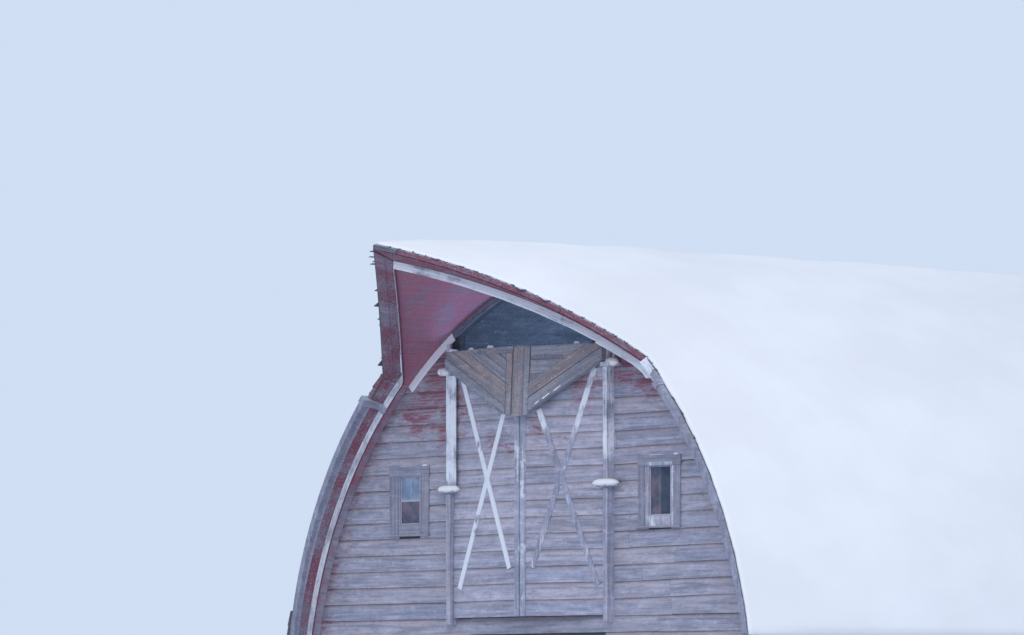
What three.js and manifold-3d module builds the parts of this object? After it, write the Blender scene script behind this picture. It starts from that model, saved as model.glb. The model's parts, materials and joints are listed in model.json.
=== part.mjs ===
// Arched-roof barn with a pointed hay hood, in millimetres.
// X runs to the right, Y to the back and Z up. The origin is on the ground, at the centre of the floor.
import * as THREE from 'three';
import { mergeVertices } from 'three/addons/utils/BufferGeometryUtils.js';
import Module from 'manifold-3d';

const wasm = await Module();
wasm.setup();

// Driving dimensions: a barn of 30 by 60 feet in six bays, with walls of 9 feet
const WIDTH = 9144;
const LENGTH = 18288;
const BAYS = 6;
const PLATE = 2743;
const WALL = 112;
const FLOOR = 150;
const FOOTING = 220;
const GAP = 0.3;
const CLEAR = 50;

// The roof is two arcs of one radius, whose centres lie past the middle of the barn
const RADIUS = 6770;
const OFFSET = 1925;
const RIDGE = 7910;
const SHELL = 60;
const EAVE = 2450;
const HOOD_STEPS = 8;
const LOWER_STEPS = 9;
const STEPS = HOOD_STEPS + LOWER_STEPS;
const OVERLAP = 10;

// The hood is a prow: the roof runs forward to a point past the hay door. Its edge and the white trim
// behind it follow two upright planes, each from its reach at the tip to its reach along the verges.
const OVERHANG = 400;
const HOOD_TIP = 3030;
const HOOD_HALF = 2750;
const ROOF_PROW = { tip: HOOD_TIP, verge: OVERHANG, half: HOOD_HALF };
const TRIM_PROW = { tip: 2664, verge: 234, half: 2520 };
const TRIM_DEPTH = { tip: 200, base: 155, eave: 110 };
const TRIM_WIDTH = 112;
const BOARD = 25;
const SOFFIT_DROP = 40;
const BARGE = { thickness: 50, top: 5, foot: 80 };
const BACK_VERGE_DEPTH = 150;
const FRIEZE_STEPS = [2, HOOD_STEPS];
const RIDGE_CAP_HALF = 160;

// The hay door, its flap and its two tracks
const DOOR_HALF = 1560;
const DOOR_SILL = PLATE + 60;
const HINGE = RIDGE - 1320;
const OPENING_DEPTH = 330;
const DOOR_FOOT = DOOR_SILL - 40;
const LEAF_OUTER = DOOR_HALF + 30;
const LEAF_FORWARD = 180;
const LEAF_STANDOFF = 30;
const LEAF = 40;
const LEAF_HEAD = 150;
const LEAF_SLOPE = 750;
const LEAF_MEETING = 12;
const STILE = 100;
const BRACE = 90;
const BRACES = [[[242, 3450], [1390, 6250]], [[360, 5690], [1440, 3180]]];
const FLAP_SIDE = 250;
const FLAP_HALF = 1640;
const FLAP_HEIGHT = 950;
const FLAP_TIP_HALF = 270;
const FLAP_LEAN = 50;
const TRACK = { width: 95, depth: 135, above: 40, below: 100 };
const BRACKETS = [{ top: RIDGE - 1600, inner: 5 }, { top: RIDGE - 3290, inner: 100 }];
const BRACKET = { outer: 70, proud: 60, height: 60, let_in: 5 };

// Gable windows, side windows and ground doors
const GABLE_WINDOW = { x: 2610, z: RIDGE - 3430, width: 450, height: 700 };
const SIDE_WINDOW = { z: 1700, width: 700, height: 600 };
const GABLE_CASING = { side: 200, head: 150, foot: 170 };
const SIDE_CASING = { side: 130, head: 130, foot: 130 };
const SASH_DEPTH = 40;
const SASH_BAR = 45;
const MUNTIN = 25;
const GLASS = 6;
const REBATE = 20;
const LET_IN = 5;
const RAIL_INSET = 3;
const GROUND_DOOR = { half: 1500, top: 2300, thickness: 60, setback: 20 };

// The frame inside
const DECK = 40;
const JOIST = { width: 50, depth: 200 };
const GIRDER_X = 1500;
const GIRDER_DEPTH = 250;
const POST = 150;
const RIB = { width: 90, depth: 150 };

const HALF = WIDTH / 2;
const FRONT = -LENGTH / 2;
const BACK = LENGTH / 2;
const ARC_Z = RIDGE - Math.sqrt(RADIUS ** 2 - OFFSET ** 2);
const BAY = LENGTH / BAYS;

const finish = (color, roughness, metalness = 0) =>
  new THREE.MeshStandardMaterial({ color, roughness, metalness });
const SIDING = finish(0x7d767d, 0.85);
const SHINGLES = finish(0x5a5450, 0.9);
const RED = finish(0x7a2f38, 0.75);
const WHITE = finish(0xc9cdd6, 0.7);
const RAW_WOOD = finish(0x6b564b, 0.85);
const TIMBER = finish(0x8a7560, 0.85);
const CONCRETE = finish(0x9b9a96, 0.9);
const SASH = finish(0x6f6a72, 0.6);

const barn = new THREE.Group();

function add(name, geometry, material) {
  const mesh = new THREE.Mesh(geometry, material);
  mesh.name = name;
  barn.add(mesh);
  return mesh;
}

// Signed volume of a triangle soup, six times over: negative where its faces point inwards
function volume(points, faces) {
  let sum = 0;
  for (const [a, b, c] of faces) {
    sum += points[a].dot(new THREE.Vector3().crossVectors(points[b], points[c]));
  }
  return sum;
}

function solid(points, faces) {
  const outward = volume(points, faces) > 0 ? faces : faces.map(([a, b, c]) => [a, c, b]);
  const geometry = new THREE.BufferGeometry();
  geometry.setAttribute('position', new THREE.Float32BufferAttribute(
    points.flatMap((p) => [p.x, p.y, p.z]), 3));
  geometry.setIndex(outward.flat());
  return geometry;
}

// A closed tube through rings of four corners each, capped at both ends
function loft(rings) {
  const faces = [];
  const quad = (a, b, c, d) => faces.push([a, b, c], [a, c, d]);
  for (let i = 0; i + 1 < rings.length; i += 1) {
    for (let j = 0; j < 4; j += 1) {
      const k = (j + 1) % 4;
      quad(4 * i + j, 4 * i + k, 4 * i + 4 + k, 4 * i + 4 + j);
    }
  }
  const last = 4 * (rings.length - 1);
  quad(3, 2, 1, 0);
  quad(last, last + 1, last + 2, last + 3);
  return solid(rings.flat(), faces);
}

function box(x0, x1, y0, y1, z0, z1) {
  const geometry = new THREE.BoxGeometry(x1 - x0, y1 - y0, z1 - z0);
  geometry.translate((x0 + x1) / 2, (y0 + y1) / 2, (z0 + z1) / 2);
  return geometry;
}

function outline(points) {
  return new THREE.Shape(points.map(([x, z]) => new THREE.Vector2(x, z)));
}

// A shape drawn on the gable, x by z, made solid from y0 back to y1
function gablePanel(shape, y0, y1) {
  const geometry = new THREE.ExtrudeGeometry(shape, { depth: y1 - y0, bevelEnabled: false });
  geometry.rotateX(Math.PI / 2);
  geometry.translate(0, y1, 0);
  return geometry;
}

function toManifold(geometry) {
  const bare = geometry.clone();
  bare.deleteAttribute('normal');
  bare.deleteAttribute('uv');
  const merged = mergeVertices(bare, 1e-3);
  return new wasm.Manifold(new wasm.Mesh({
    numProp: 3,
    vertProperties: new Float32Array(merged.attributes.position.array),
    triVerts: new Uint32Array(merged.index.array),
  }));
}

function fromManifold(body) {
  const { vertProperties, triVerts } = body.getMesh();
  const geometry = new THREE.BufferGeometry();
  geometry.setAttribute('position', new THREE.BufferAttribute(vertProperties, 3));
  geometry.setIndex(new THREE.BufferAttribute(triVerts, 1));
  return geometry;
}

function join(...geometries) {
  return fromManifold(geometries.map(toManifold).reduce((all, next) => all.add(next)));
}

function cut(geometry, ...tools) {
  const whole = toManifold(geometry);
  return fromManifold(tools.map(toManifold).reduce((rest, tool) => rest.subtract(tool), whole));
}

// The same piece on the other side of the barn
function mirrored(geometry) {
  const copy = geometry.index ? geometry.clone() : mergeVertices(geometry.clone());
  const points = [];
  const place = copy.attributes.position;
  for (let i = 0; i < place.count; i += 1) {
    points.push(new THREE.Vector3(-place.getX(i), place.getY(i), place.getZ(i)));
  }
  const faces = [];
  for (let i = 0; i < copy.index.count; i += 3) {
    faces.push([copy.index.getX(i), copy.index.getX(i + 1), copy.index.getX(i + 2)]);
  }
  return solid(points, faces);
}

function addPair(name, geometry, material) {
  add(`right_${name}`, geometry, material);
  add(`left_${name}`, mirrored(geometry), material);
}

// Every shape moves each of its points forward by a distance worked out from x and z
function lean(geometry, forward) {
  const place = geometry.attributes.position;
  for (let i = 0; i < place.count; i += 1) {
    place.setY(i, place.getY(i) - forward(place.getX(i), place.getZ(i)));
  }
  return geometry;
}

function within(geometry, tool) {
  return fromManifold(toManifold(geometry).intersect(toManifold(tool)));
}

// Stations down the right-hand arc: the ridge, where the trim meets the verge, the hood's foot, the eave
const TRIM_ANGLE = Math.asin((TRIM_PROW.half + OFFSET) / (RADIUS - TRIM_DEPTH.base));
const BASE_ANGLE = Math.asin((HOOD_HALF + OFFSET) / RADIUS);
const EAVE_ANGLE = Math.acos((EAVE - ARC_Z) / RADIUS);
const RIDGE_ANGLE = Math.asin(OFFSET / RADIUS);

function stationAngle(step) {
  if (step < HOOD_STEPS) return RIDGE_ANGLE + (TRIM_ANGLE - RIDGE_ANGLE) * (step / (HOOD_STEPS - 1));
  return BASE_ANGLE + (EAVE_ANGLE - BASE_ANGLE) * ((step - HOOD_STEPS) / LOWER_STEPS);
}

// A point on the arc at a depth under the roof's face; the first station is always on the ridge line
function arcPoint(step, depth) {
  const radius = RADIUS - depth;
  const angle = step === 0 ? Math.asin(OFFSET / radius) : stationAngle(step);
  return { x: radius * Math.sin(angle) - OFFSET, z: ARC_Z + radius * Math.cos(angle) };
}

function corner(step, depth, y) {
  const { x, z } = arcPoint(step, depth);
  return new THREE.Vector3(x, y, z);
}

// A corner on a prow's upright plane, which runs in from the tip and then along the verge
function prowCorner(step, depth, prow, back = 0) {
  const { x, z } = arcPoint(step, depth);
  const reach = Math.max(prow.verge, prow.tip + (prow.verge - prow.tip) * (x / prow.half));
  return new THREE.Vector3(x, FRONT - reach + back, z);
}

function trimDepth(step) {
  const { tip, base, eave } = TRIM_DEPTH;
  if (step <= HOOD_STEPS) return tip + (base - tip) * (step / HOOD_STEPS);
  return base + (eave - base) * ((step - HOOD_STEPS) / LOWER_STEPS);
}

const ceilingDepth = (step) => trimDepth(step) + SOFFIT_DROP;

function stations(first, last, ring) {
  const rings = [];
  for (let step = first; step <= last; step += 1) rings.push(ring(step));
  return rings;
}

// The arch as a line of points from the left side over the ridge to the right, at a depth
function archLine(depth, last) {
  const right = [];
  for (let step = 0; step <= last; step += 1) {
    const { x, z } = arcPoint(step, depth);
    right.push([x, z]);
  }
  const left = right.slice(1).reverse().map(([x, z]) => [-x, z]);
  return [...left, ...right];
}

// A point on the arch's straight facets at a given height
function onFacet(depth, height) {
  for (let step = 0; step < STEPS; step += 1) {
    const a = arcPoint(step, depth);
    const b = arcPoint(step + 1, depth);
    if (a.z >= height && b.z <= height) {
      const share = (a.z - height) / (a.z - b.z);
      return { x: a.x + share * (b.x - a.x), step };
    }
  }
  return { x: arcPoint(STEPS, depth).x, step: STEPS };
}

function archDownTo(depth, height) {
  const foot = onFacet(depth, height);
  const line = archLine(depth, foot.step);
  return [[-foot.x, height], ...line, [foot.x, height]];
}

// Ground floor, footing and the four walls
function makeFloor() {
  const [x, y] = [HALF - FOOTING, BACK - FOOTING];
  add('ground_floor', box(-x, x, -y, y, 0, FLOOR), CONCRETE);
  const ring = outline([[-HALF, FRONT], [HALF, FRONT], [HALF, BACK], [-HALF, BACK]]);
  const inner = [[-x, -y], [x, -y], [x, y], [-x, y]];
  ring.holes.push(new THREE.Path(inner.map((place) => new THREE.Vector2(...place))));
  add('foundation', new THREE.ExtrudeGeometry(ring, { depth: FLOOR, bevelEnabled: false }), CONCRETE);
}

function gablePlate(y0, y1) {
  const arch = archDownTo(SHELL + GAP, PLATE).reverse();
  const shape = outline([[HALF, FLOOR], [HALF, PLATE], ...arch, [-HALF, PLATE], [-HALF, FLOOR],
    [-GROUND_DOOR.half, FLOOR], [-GROUND_DOOR.half, GROUND_DOOR.top],
    [GROUND_DOOR.half, GROUND_DOOR.top], [GROUND_DOOR.half, FLOOR]]);
  return gablePanel(shape, y0, y1);
}

// Tools that cut the two gable windows, reaching past both faces of the wall
function gableWindowTools(y0, y1) {
  const { x, z, width, height } = GABLE_WINDOW;
  return [-1, 1].map((side) => box(
    side * x - width / 2, side * x + width / 2, y0 - CLEAR, y1 + CLEAR, z - height / 2, z + height / 2));
}

// The hay door's opening: straight sides, and a head that follows the arch up to the ridge
function hayOpening() {
  const shoulder = shoulderHeight();
  const head = archLine(OPENING_DEPTH, HOOD_STEPS).filter(([x]) => Math.abs(x) < DOOR_HALF);
  return [[-DOOR_HALF, DOOR_SILL], [-DOOR_HALF, shoulder], ...head,
    [DOOR_HALF, shoulder], [DOOR_HALF, DOOR_SILL]];
}

function shoulderHeight() {
  for (let step = 0; step < STEPS; step += 1) {
    const a = arcPoint(step, OPENING_DEPTH);
    const b = arcPoint(step + 1, OPENING_DEPTH);
    if (a.x <= DOOR_HALF && b.x >= DOOR_HALF) {
      return a.z + (b.z - a.z) * ((DOOR_HALF - a.x) / (b.x - a.x));
    }
  }
  return HINGE;
}

function makeWalls() {
  const frontTools = gableWindowTools(FRONT, FRONT + WALL);
  const hayTool = gablePanel(outline(hayOpening()), FRONT - CLEAR, FRONT + WALL + CLEAR);
  add('front_wall', cut(gablePlate(FRONT, FRONT + WALL), hayTool, ...frontTools), SIDING);
  add('back_wall', cut(gablePlate(BACK - WALL, BACK), ...gableWindowTools(BACK - WALL, BACK)), SIDING);
  const end = BACK - WALL - GAP;
  const { z, width, height } = SIDE_WINDOW;
  const sideTools = bayCentres().map((y) => box(
    HALF - WALL - CLEAR, HALF + CLEAR, y - width / 2, y + width / 2, z - height / 2, z + height / 2));
  addPair('wall', cut(box(HALF - WALL, HALF, -end, end, FLOOR, PLATE), ...sideTools), SIDING);
}

function bayCentres() {
  return Array.from({ length: BAYS }, (_, bay) => FRONT + BAY * (bay + 0.5));
}

// Roof shells, each from the ridge to its eave, with its half of the hood
function makeRoof() {
  const back = BACK + OVERHANG;
  const shell = loft(stations(0, STEPS, (step) => [
    prowCorner(step, 0, ROOF_PROW), corner(step, 0, back),
    corner(step, SHELL, back), prowCorner(step, SHELL, ROOF_PROW),
  ]));
  addPair('roof', shell, SHINGLES);
  const reach = RIDGE_CAP_HALF;
  const rise = (arcPoint(1, 0).z - RIDGE) / arcPoint(1, 0).x * reach;
  const cap = outline([[0, RIDGE + GAP], [reach, RIDGE + GAP + rise], [reach, RIDGE + BOARD + rise],
    [0, RIDGE + BOARD], [-reach, RIDGE + BOARD + rise], [-reach, RIDGE + GAP + rise]]);
  add('ridge_cap', gablePanel(cap, FRONT - HOOD_TIP + reach, back), SHINGLES);
}

// A ring of corners at one station, between two depths and two places along the barn
function band(step, from, to, near, far) {
  return [corner(step, from, near), corner(step, from, far), corner(step, to, far), corner(step, to, near)];
}

// All that lies behind a prow's line in plan, on the right-hand side
function behind({ tip, verge, half }, back) {
  const edge = FRONT + back;
  const slope = (tip - verge) / half;
  const plan = outline([[-CLEAR, edge - tip - slope * CLEAR], [half, edge - verge], [WIDTH, edge - verge],
    [WIDTH, BACK], [-CLEAR, BACK]]);
  return new THREE.ExtrudeGeometry(plan, { depth: RIDGE, bevelEnabled: false });
}

// Under the roof's forward edge, from the tip to the eaves: a red ceiling back to the wall, a raked
// red fascia and a white trim board at its foot
function makeHood() {
  const under = SHELL + GAP;
  const ahead = FRONT - HOOD_TIP - CLEAR;
  const backed = behind(TRIM_PROW, BOARD);
  const ceiling = loft(stations(0, STEPS, (step) => band(
    step, under, ceilingDepth(step), ahead, FRONT - GAP)));
  addPair('hood_ceiling', within(ceiling, behind(TRIM_PROW, BOARD + GAP)), RED);
  const fascia = loft(stations(0, STEPS, (step) => [
    prowCorner(step, under, ROOF_PROW), corner(step, under, FRONT),
    corner(step, trimDepth(step), FRONT), prowCorner(step, trimDepth(step), TRIM_PROW),
  ]));
  addPair('hood_fascia', cut(fascia, backed), RED);
  const trim = loft(stations(0, STEPS, (step) => band(
    step, trimDepth(step) + GAP, trimDepth(step) + TRIM_WIDTH, ahead, FRONT)));
  addPair('hood_trim', cut(within(trim, behind(TRIM_PROW, 0)), backed), WHITE);
}

// A barge board on each front verge below the hood, a white frieze on the wall under the hood's
// ceiling, and the closed verges at the back
function makeVerges() {
  const face = FRONT - OVERHANG;
  addPair('verge_board', loft(stations(HOOD_STEPS + 1, STEPS, (step) => band(
    step, BARGE.top, BARGE.foot, face - BARGE.thickness, face - GAP))), SIDING);
  addPair('frieze_board', loft(stations(...FRIEZE_STEPS, (step) => {
    const top = ceilingDepth(step) + GAP;
    return band(step, top, top + TRIM_WIDTH, FRONT - BOARD - GAP, FRONT - GAP);
  })), WHITE);
  addPair('back_verge', loft(stations(0, STEPS, (step) => band(
    step, SHELL + GAP, BACK_VERGE_DEPTH, BACK + GAP, BACK + OVERHANG - BOARD))), SIDING);
}

// The mow floor on its joists, the two girders on posts, and the arch ribs at the bay lines
function makeFrame() {
  const inner = HALF - WALL - GAP;
  const end = BACK - WALL - GAP;
  const joistTop = PLATE - DECK;
  const deck = box(-inner, inner, -end, end, joistTop, PLATE);
  const reach = end - CLEAR;
  const joists = Array.from({ length: 2 * BAYS + 1 }, (_, i) => {
    const y = -reach + (reach * i) / BAYS;
    const half = JOIST.width / 2;
    return box(-inner, inner, y - half, y + half, joistTop - JOIST.depth, joistTop + OVERLAP);
  });
  add('mow_floor', join(deck, ...joists), TIMBER);
  const under = joistTop - JOIST.depth - GAP;
  const beamFoot = under - GIRDER_DEPTH;
  const half = POST / 2;
  const beam = box(GIRDER_X - half, GIRDER_X + half, -end, end, beamFoot, under);
  const posts = bayLines().map((y) => box(
    GIRDER_X - half, GIRDER_X + half, y - half, y + half, FLOOR + GAP, beamFoot + OVERLAP));
  addPair('girder', join(beam, ...posts), TIMBER);
  const outer = archDownTo(SHELL + GAP, PLATE + GAP);
  const innerLine = archDownTo(SHELL + RIB.depth, PLATE + GAP).reverse();
  const rib = outline([...outer, ...innerLine]);
  bayLines().forEach((y, index) => {
    add(`arch_rib_${index + 1}`, gablePanel(rib, y - RIB.width / 2, y + RIB.width / 2), TIMBER);
  });
}

function bayLines() {
  return Array.from({ length: BAYS - 1 }, (_, bay) => FRONT + BAY * (bay + 1));
}

// How far forward a leaf stands: nothing at its track, and most where the leaves meet
const leafLean = (x) => LEAF_FORWARD * Math.max(0, 1 - Math.abs(x) / LEAF_OUTER);

// The flap has the same bend, and its foot hangs a little clear
const flapLean = (x, z) => LEAF_FORWARD * (1 - Math.abs(x) / FLAP_HALF)
  + (FLAP_LEAN * (HINGE - z)) / FLAP_HEIGHT;

function leafPanel(points, y0, y1) {
  return lean(gablePanel(outline(points), y0, y1), leafLean);
}

function board(x0, z0, x1, z1, width) {
  const length = Math.hypot(x1 - x0, z1 - z0);
  const sideX = ((z1 - z0) / length) * (width / 2);
  const sideZ = ((x1 - x0) / length) * (width / 2);
  return [[x0 - sideX, z0 + sideZ], [x1 - sideX, z1 + sideZ],
    [x1 + sideX, z1 - sideZ], [x0 + sideX, z0 - sideZ]];
}

// Two leaves that stand a little open, each with a crossed brace and a meeting stile
function makeHayDoor() {
  const back = FRONT - LEAF_STANDOFF;
  const face = back - LEAF;
  const inner = LEAF_MEETING;
  const headAt = (x) => HINGE - LEAF_HEAD - LEAF_SLOPE * (1 - x / LEAF_OUTER);
  addPair('hay_door', leafPanel([[inner, DOOR_FOOT], [LEAF_OUTER, DOOR_FOOT],
    [LEAF_OUTER, headAt(LEAF_OUTER)], [inner, headAt(inner)]], face, back), SIDING);
  const outer = inner + STILE;
  const stile = [[inner, DOOR_FOOT], [outer, DOOR_FOOT], [outer, headAt(outer)], [inner, headAt(inner)]];
  addPair('meeting_stile', leafPanel(stile, face - BOARD - GAP, face - GAP), WHITE);
  const [rising, falling] = BRACES.map(([[x0, z0], [x1, z1]]) => leafPanel(
    board(x0, z0, x1, z1, BRACE), face - BOARD - GAP, face - GAP));
  addPair('cross_brace', join(rising, falling), WHITE);
}

// The flap over the doors hangs folded down from its hinge line, in front of the tracks and the leaves
function makeFlap() {
  const back = FRONT - TRACK.depth - GAP;
  const half = lean(gablePanel(outline([[0, HINGE], [0, HINGE - FLAP_HEIGHT],
    [FLAP_TIP_HALF, HINGE - FLAP_HEIGHT], [FLAP_HALF, HINGE - FLAP_SIDE], [FLAP_HALF, HINGE]]),
  back - LEAF, back), flapLean);
  add('hay_flap', join(half, mirrored(half)), RAW_WOOD);
}

// A track beside each leaf, with two brackets that stand out of its face
function makeTracks() {
  const x0 = LEAF_OUTER + GAP;
  const x1 = x0 + TRACK.width;
  const face = FRONT - TRACK.depth;
  const rail = box(x0, x1, face, FRONT - GAP, DOOR_FOOT - TRACK.below, HINGE + TRACK.above);
  const brackets = BRACKETS.map(({ top, inner }) => box(
    x0 - inner, x1 + BRACKET.outer, face - BRACKET.proud, face + BRACKET.let_in,
    top - BRACKET.height, top));
  addPair('door_track', join(rail, ...brackets), WHITE);
}

// Boards round a hole of the given width and height, centred on x and z
function ringPanel(x, z, width, height, border, y0, y1) {
  const [left, right] = [x - width / 2, x + width / 2];
  const [foot, head] = [z - height / 2, z + height / 2];
  const outer = box(left - border.side, right + border.side, y0, y1, foot - border.foot, head + border.head);
  return cut(outer, box(left, right, y0 - CLEAR, y1 + CLEAR, foot, head));
}

// Casing boards that cover the edge of their opening by half the rebate on each side
function casing(x, { z, width, height }, border, y0) {
  return ringPanel(x, z, width - REBATE, height - REBATE, border, y0, y0 + BOARD);
}

// A sash of frame, muntins and glass for an opening, in the plane between y0 and y1
function sash(x, window, y0, y1) {
  const { z } = window;
  const [width, height] = [window.width - 2 * GAP, window.height - 2 * GAP];
  const bars = { side: SASH_BAR, head: SASH_BAR, foot: SASH_BAR };
  const frame = ringPanel(x, z, width - 2 * SASH_BAR, height - 2 * SASH_BAR, bars, y0, y1);
  const [across, up] = [width / 2 - LET_IN, height / 2 - LET_IN];
  const middle = (y0 + y1) / 2;
  const upright = box(x - MUNTIN / 2, x + MUNTIN / 2, y0 + LET_IN, y1 - LET_IN, z - up, z + up);
  const half = SASH_BAR / 2;
  const rail = box(x - across, x + across, y0 + RAIL_INSET, y1 - RAIL_INSET, z - half, z + half);
  const glass = box(x - across, x + across, middle - GLASS / 2, middle + GLASS / 2, z - up, z + up);
  return join(frame, upright, rail, glass);
}

function makeGableWindows() {
  const { x } = GABLE_WINDOW;
  addPair('front_casing', casing(x, GABLE_WINDOW, GABLE_CASING, FRONT - BOARD - GAP), SIDING);
  addPair('front_sash', sash(x, GABLE_WINDOW, FRONT, FRONT + SASH_DEPTH), SASH);
  const boards = casing(x, GABLE_WINDOW, GABLE_CASING, BACK + GAP);
  const lights = sash(x, GABLE_WINDOW, BACK - SASH_DEPTH, BACK + GAP + LET_IN);
  addPair('back_window', join(boards, lights), SASH);
}

// Six sashes in one side wall, with casings joined by a long sill board
function makeSideWindows() {
  const end = BACK - CLEAR;
  const face = HALF + GAP;
  const foot = SIDE_WINDOW.z - SIDE_WINDOW.height / 2;
  const parts = [box(face, face + BOARD, -end, end, foot - SIDE_CASING.foot, foot + REBATE / 2)];
  for (const y of bayCentres()) {
    parts.push(turned(casing(y, SIDE_WINDOW, SIDE_CASING, face)));
    parts.push(turned(sash(y, SIDE_WINDOW, HALF - SASH_DEPTH, face + LET_IN)));
  }
  addPair('side_windows', join(...parts), SASH);
}

// Swaps x and y, so that a piece drawn for the gable stands in the right-hand wall
function turned(geometry) {
  const flipped = geometry.clone();
  const place = flipped.attributes.position;
  const points = [];
  for (let i = 0; i < place.count; i += 1) {
    points.push(new THREE.Vector3(place.getY(i), place.getX(i), place.getZ(i)));
  }
  const index = flipped.index.array;
  const faces = [];
  for (let i = 0; i < index.length; i += 3) faces.push([index[i], index[i + 1], index[i + 2]]);
  return solid(points, faces);
}

// Closed plank doors at ground level, front and back
function makeGroundDoors() {
  const { half, top, thickness, setback } = GROUND_DOOR;
  const places = { front_ground_door: FRONT + setback, back_ground_door: BACK - setback - thickness };
  for (const [name, y0] of Object.entries(places)) {
    add(name, box(-half + GAP, half - GAP, y0, y0 + thickness, FLOOR + GAP, top - GAP), SIDING);
  }
}

makeFloor();
makeWalls();
makeRoof();
makeHood();
makeVerges();
makeFrame();
makeHayDoor();
makeFlap();
makeTracks();
makeGableWindows();
makeSideWindows();
makeGroundDoors();
export default barn;
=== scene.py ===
"""An old arched-roof barn under snow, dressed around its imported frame.

Everything is in metres: X runs to the right, Y to the back and Z up, with the origin on the ground. Angles
are turns from upright around the centre of a roof arc, in radians.
"""

import json
import math

import bmesh
import bpy
import numpy as np
from bpy.props import FloatProperty, FloatVectorProperty, PointerProperty
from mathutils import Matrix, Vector


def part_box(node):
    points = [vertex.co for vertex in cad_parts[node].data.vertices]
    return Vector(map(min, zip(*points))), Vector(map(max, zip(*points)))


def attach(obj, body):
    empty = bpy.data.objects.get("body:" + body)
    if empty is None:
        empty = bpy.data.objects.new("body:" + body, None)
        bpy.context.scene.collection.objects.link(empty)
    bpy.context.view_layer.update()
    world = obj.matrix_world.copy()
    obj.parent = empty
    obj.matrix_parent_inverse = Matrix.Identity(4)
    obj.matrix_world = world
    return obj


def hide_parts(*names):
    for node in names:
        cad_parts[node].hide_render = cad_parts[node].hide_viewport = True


bl_info = {
    "name": "Arched-roof barn",
    "version": (1, 0, 0),
    "blender": (4, 5, 0),
    "location": "View3D > Sidebar > Barn",
    "description": "Boards, shingles, worn paint and snow for an arched-roof barn",
    "category": "Object",
}

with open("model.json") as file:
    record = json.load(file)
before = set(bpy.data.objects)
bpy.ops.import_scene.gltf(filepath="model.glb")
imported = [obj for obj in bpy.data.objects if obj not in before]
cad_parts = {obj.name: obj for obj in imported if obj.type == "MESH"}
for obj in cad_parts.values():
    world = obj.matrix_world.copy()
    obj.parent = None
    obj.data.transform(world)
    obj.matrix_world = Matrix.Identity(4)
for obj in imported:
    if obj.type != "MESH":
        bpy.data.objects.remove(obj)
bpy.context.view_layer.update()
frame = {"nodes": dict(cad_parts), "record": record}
NODES = frame["nodes"]

SIDES = {-1: "left", 1: "right"}
AHEAD = (0.0, -1.0, 0.0)

# The barn's own lines, read from the frame
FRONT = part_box("front_wall")[0][1]
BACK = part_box("back_wall")[1][1]
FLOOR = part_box("ground_floor")[1][2]
HALF, _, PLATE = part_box("right_wall")[1]
(_, HOOD_TIP, EAVE), (_, ROOF_BACK, RIDGE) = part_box("right_roof")
(_, _, FLAP_FOOT), (FLAP_HALF, _, HINGE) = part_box("hay_flap")
(_, _, DOOR_FOOT), (LEAF_HALF, _, _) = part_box("right_hay_door")
TRACK_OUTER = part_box("right_door_track")[1][0]
SASH_LOW, SASH_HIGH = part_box("right_front_sash")

# The roof's arcs and the layers under its forward edge, as the solids have them
RADIUS = 6.77
OFFSET = 1.925
ARC_Z = RIDGE - math.sqrt(RADIUS ** 2 - OFFSET ** 2)
SHELL = 0.06
HOOD_HALF = 2.75
RIDGE_ANGLE = math.asin(OFFSET / RADIUS)
BASE_ANGLE = math.asin((HOOD_HALF + OFFSET) / RADIUS)
EAVE_ANGLE = math.acos((EAVE - ARC_Z) / RADIUS)
VERGE_STEPS = 9
VERGE_ANGLE = BASE_ANGLE + (EAVE_ANGLE - BASE_ANGLE) / VERGE_STEPS
SLOPE = (EAVE_ANGLE - RIDGE_ANGLE) * RADIUS
HOOD_SLOPE = (BASE_ANGLE - RIDGE_ANGLE) * RADIUS
TRIM_DEPTHS = (0.200, 0.155, 0.110)
TRIM_WIDTH = 0.112
SOFFIT_DROP = 0.04

# How far a line stands in front of the gable at the tip and down the verges, and its half width at the foot
ROOF_PROW = (FRONT - HOOD_TIP, 0.40, HOOD_HALF)
TRIM_PROW = (2.664, 0.234, 2.52)

# The hay doors bend forward to where they meet, and so does the flap in front of them
DOOR_HALF = 1.56
LEAF_FORWARD = 0.18
LEAF_FACE = 0.07
LEAF_HEAD = 0.15
LEAF_SLOPE = 0.75
FLAP_BACK = 0.1353
FLAP_LEAN = 0.05
FLAP_TIP_HALF = 0.27
FLAP_SIDE = 0.25
FLAP_SLOPE = (HINGE - FLAP_SIDE - FLAP_FOOT) / (FLAP_HALF - FLAP_TIP_HALF)

# The tracks' brackets, by their tops
UPPER_BRACKET = RIDGE - 1.6
LOWER_BRACKET = RIDGE - 3.29

# Windows: the gable ones by their sash, and the ones in the side walls, a bay apart
WINDOW_X, WINDOW_Z = (0.5 * (SASH_LOW[k] + SASH_HIGH[k]) for k in (0, 2))
WINDOW_WIDE, WINDOW_TALL = (SASH_HIGH[k] - SASH_LOW[k] for k in (0, 2))
SIDE_WIDE, SIDE_TALL = 0.70, 0.60
SIDE_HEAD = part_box("right_side_windows")[1][2] - 0.12
BAYS = 6
BAY_CENTRES = FRONT + (BACK - FRONT) / BAYS * (np.arange(BAYS) + 0.5)

# The camera that took the photograph, from the lines that it shows
FOCAL_PIXELS = 6698.0
PHOTO_WIDTH = 1024
PHOTO_HEIGHT = 635
SENSOR = 36.0


def rng(seed):
    """Random draws that are the same on every run."""
    return np.random.default_rng(seed)


# Shapes

def arc(angle, depth=0.0, side=1):
    """Place on an arc: the radius less a depth, turned from upright by an angle, mirrored by side."""
    radius = RADIUS - depth
    return side * (radius * np.sin(angle) - OFFSET), ARC_Z + radius * np.cos(angle)


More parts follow.
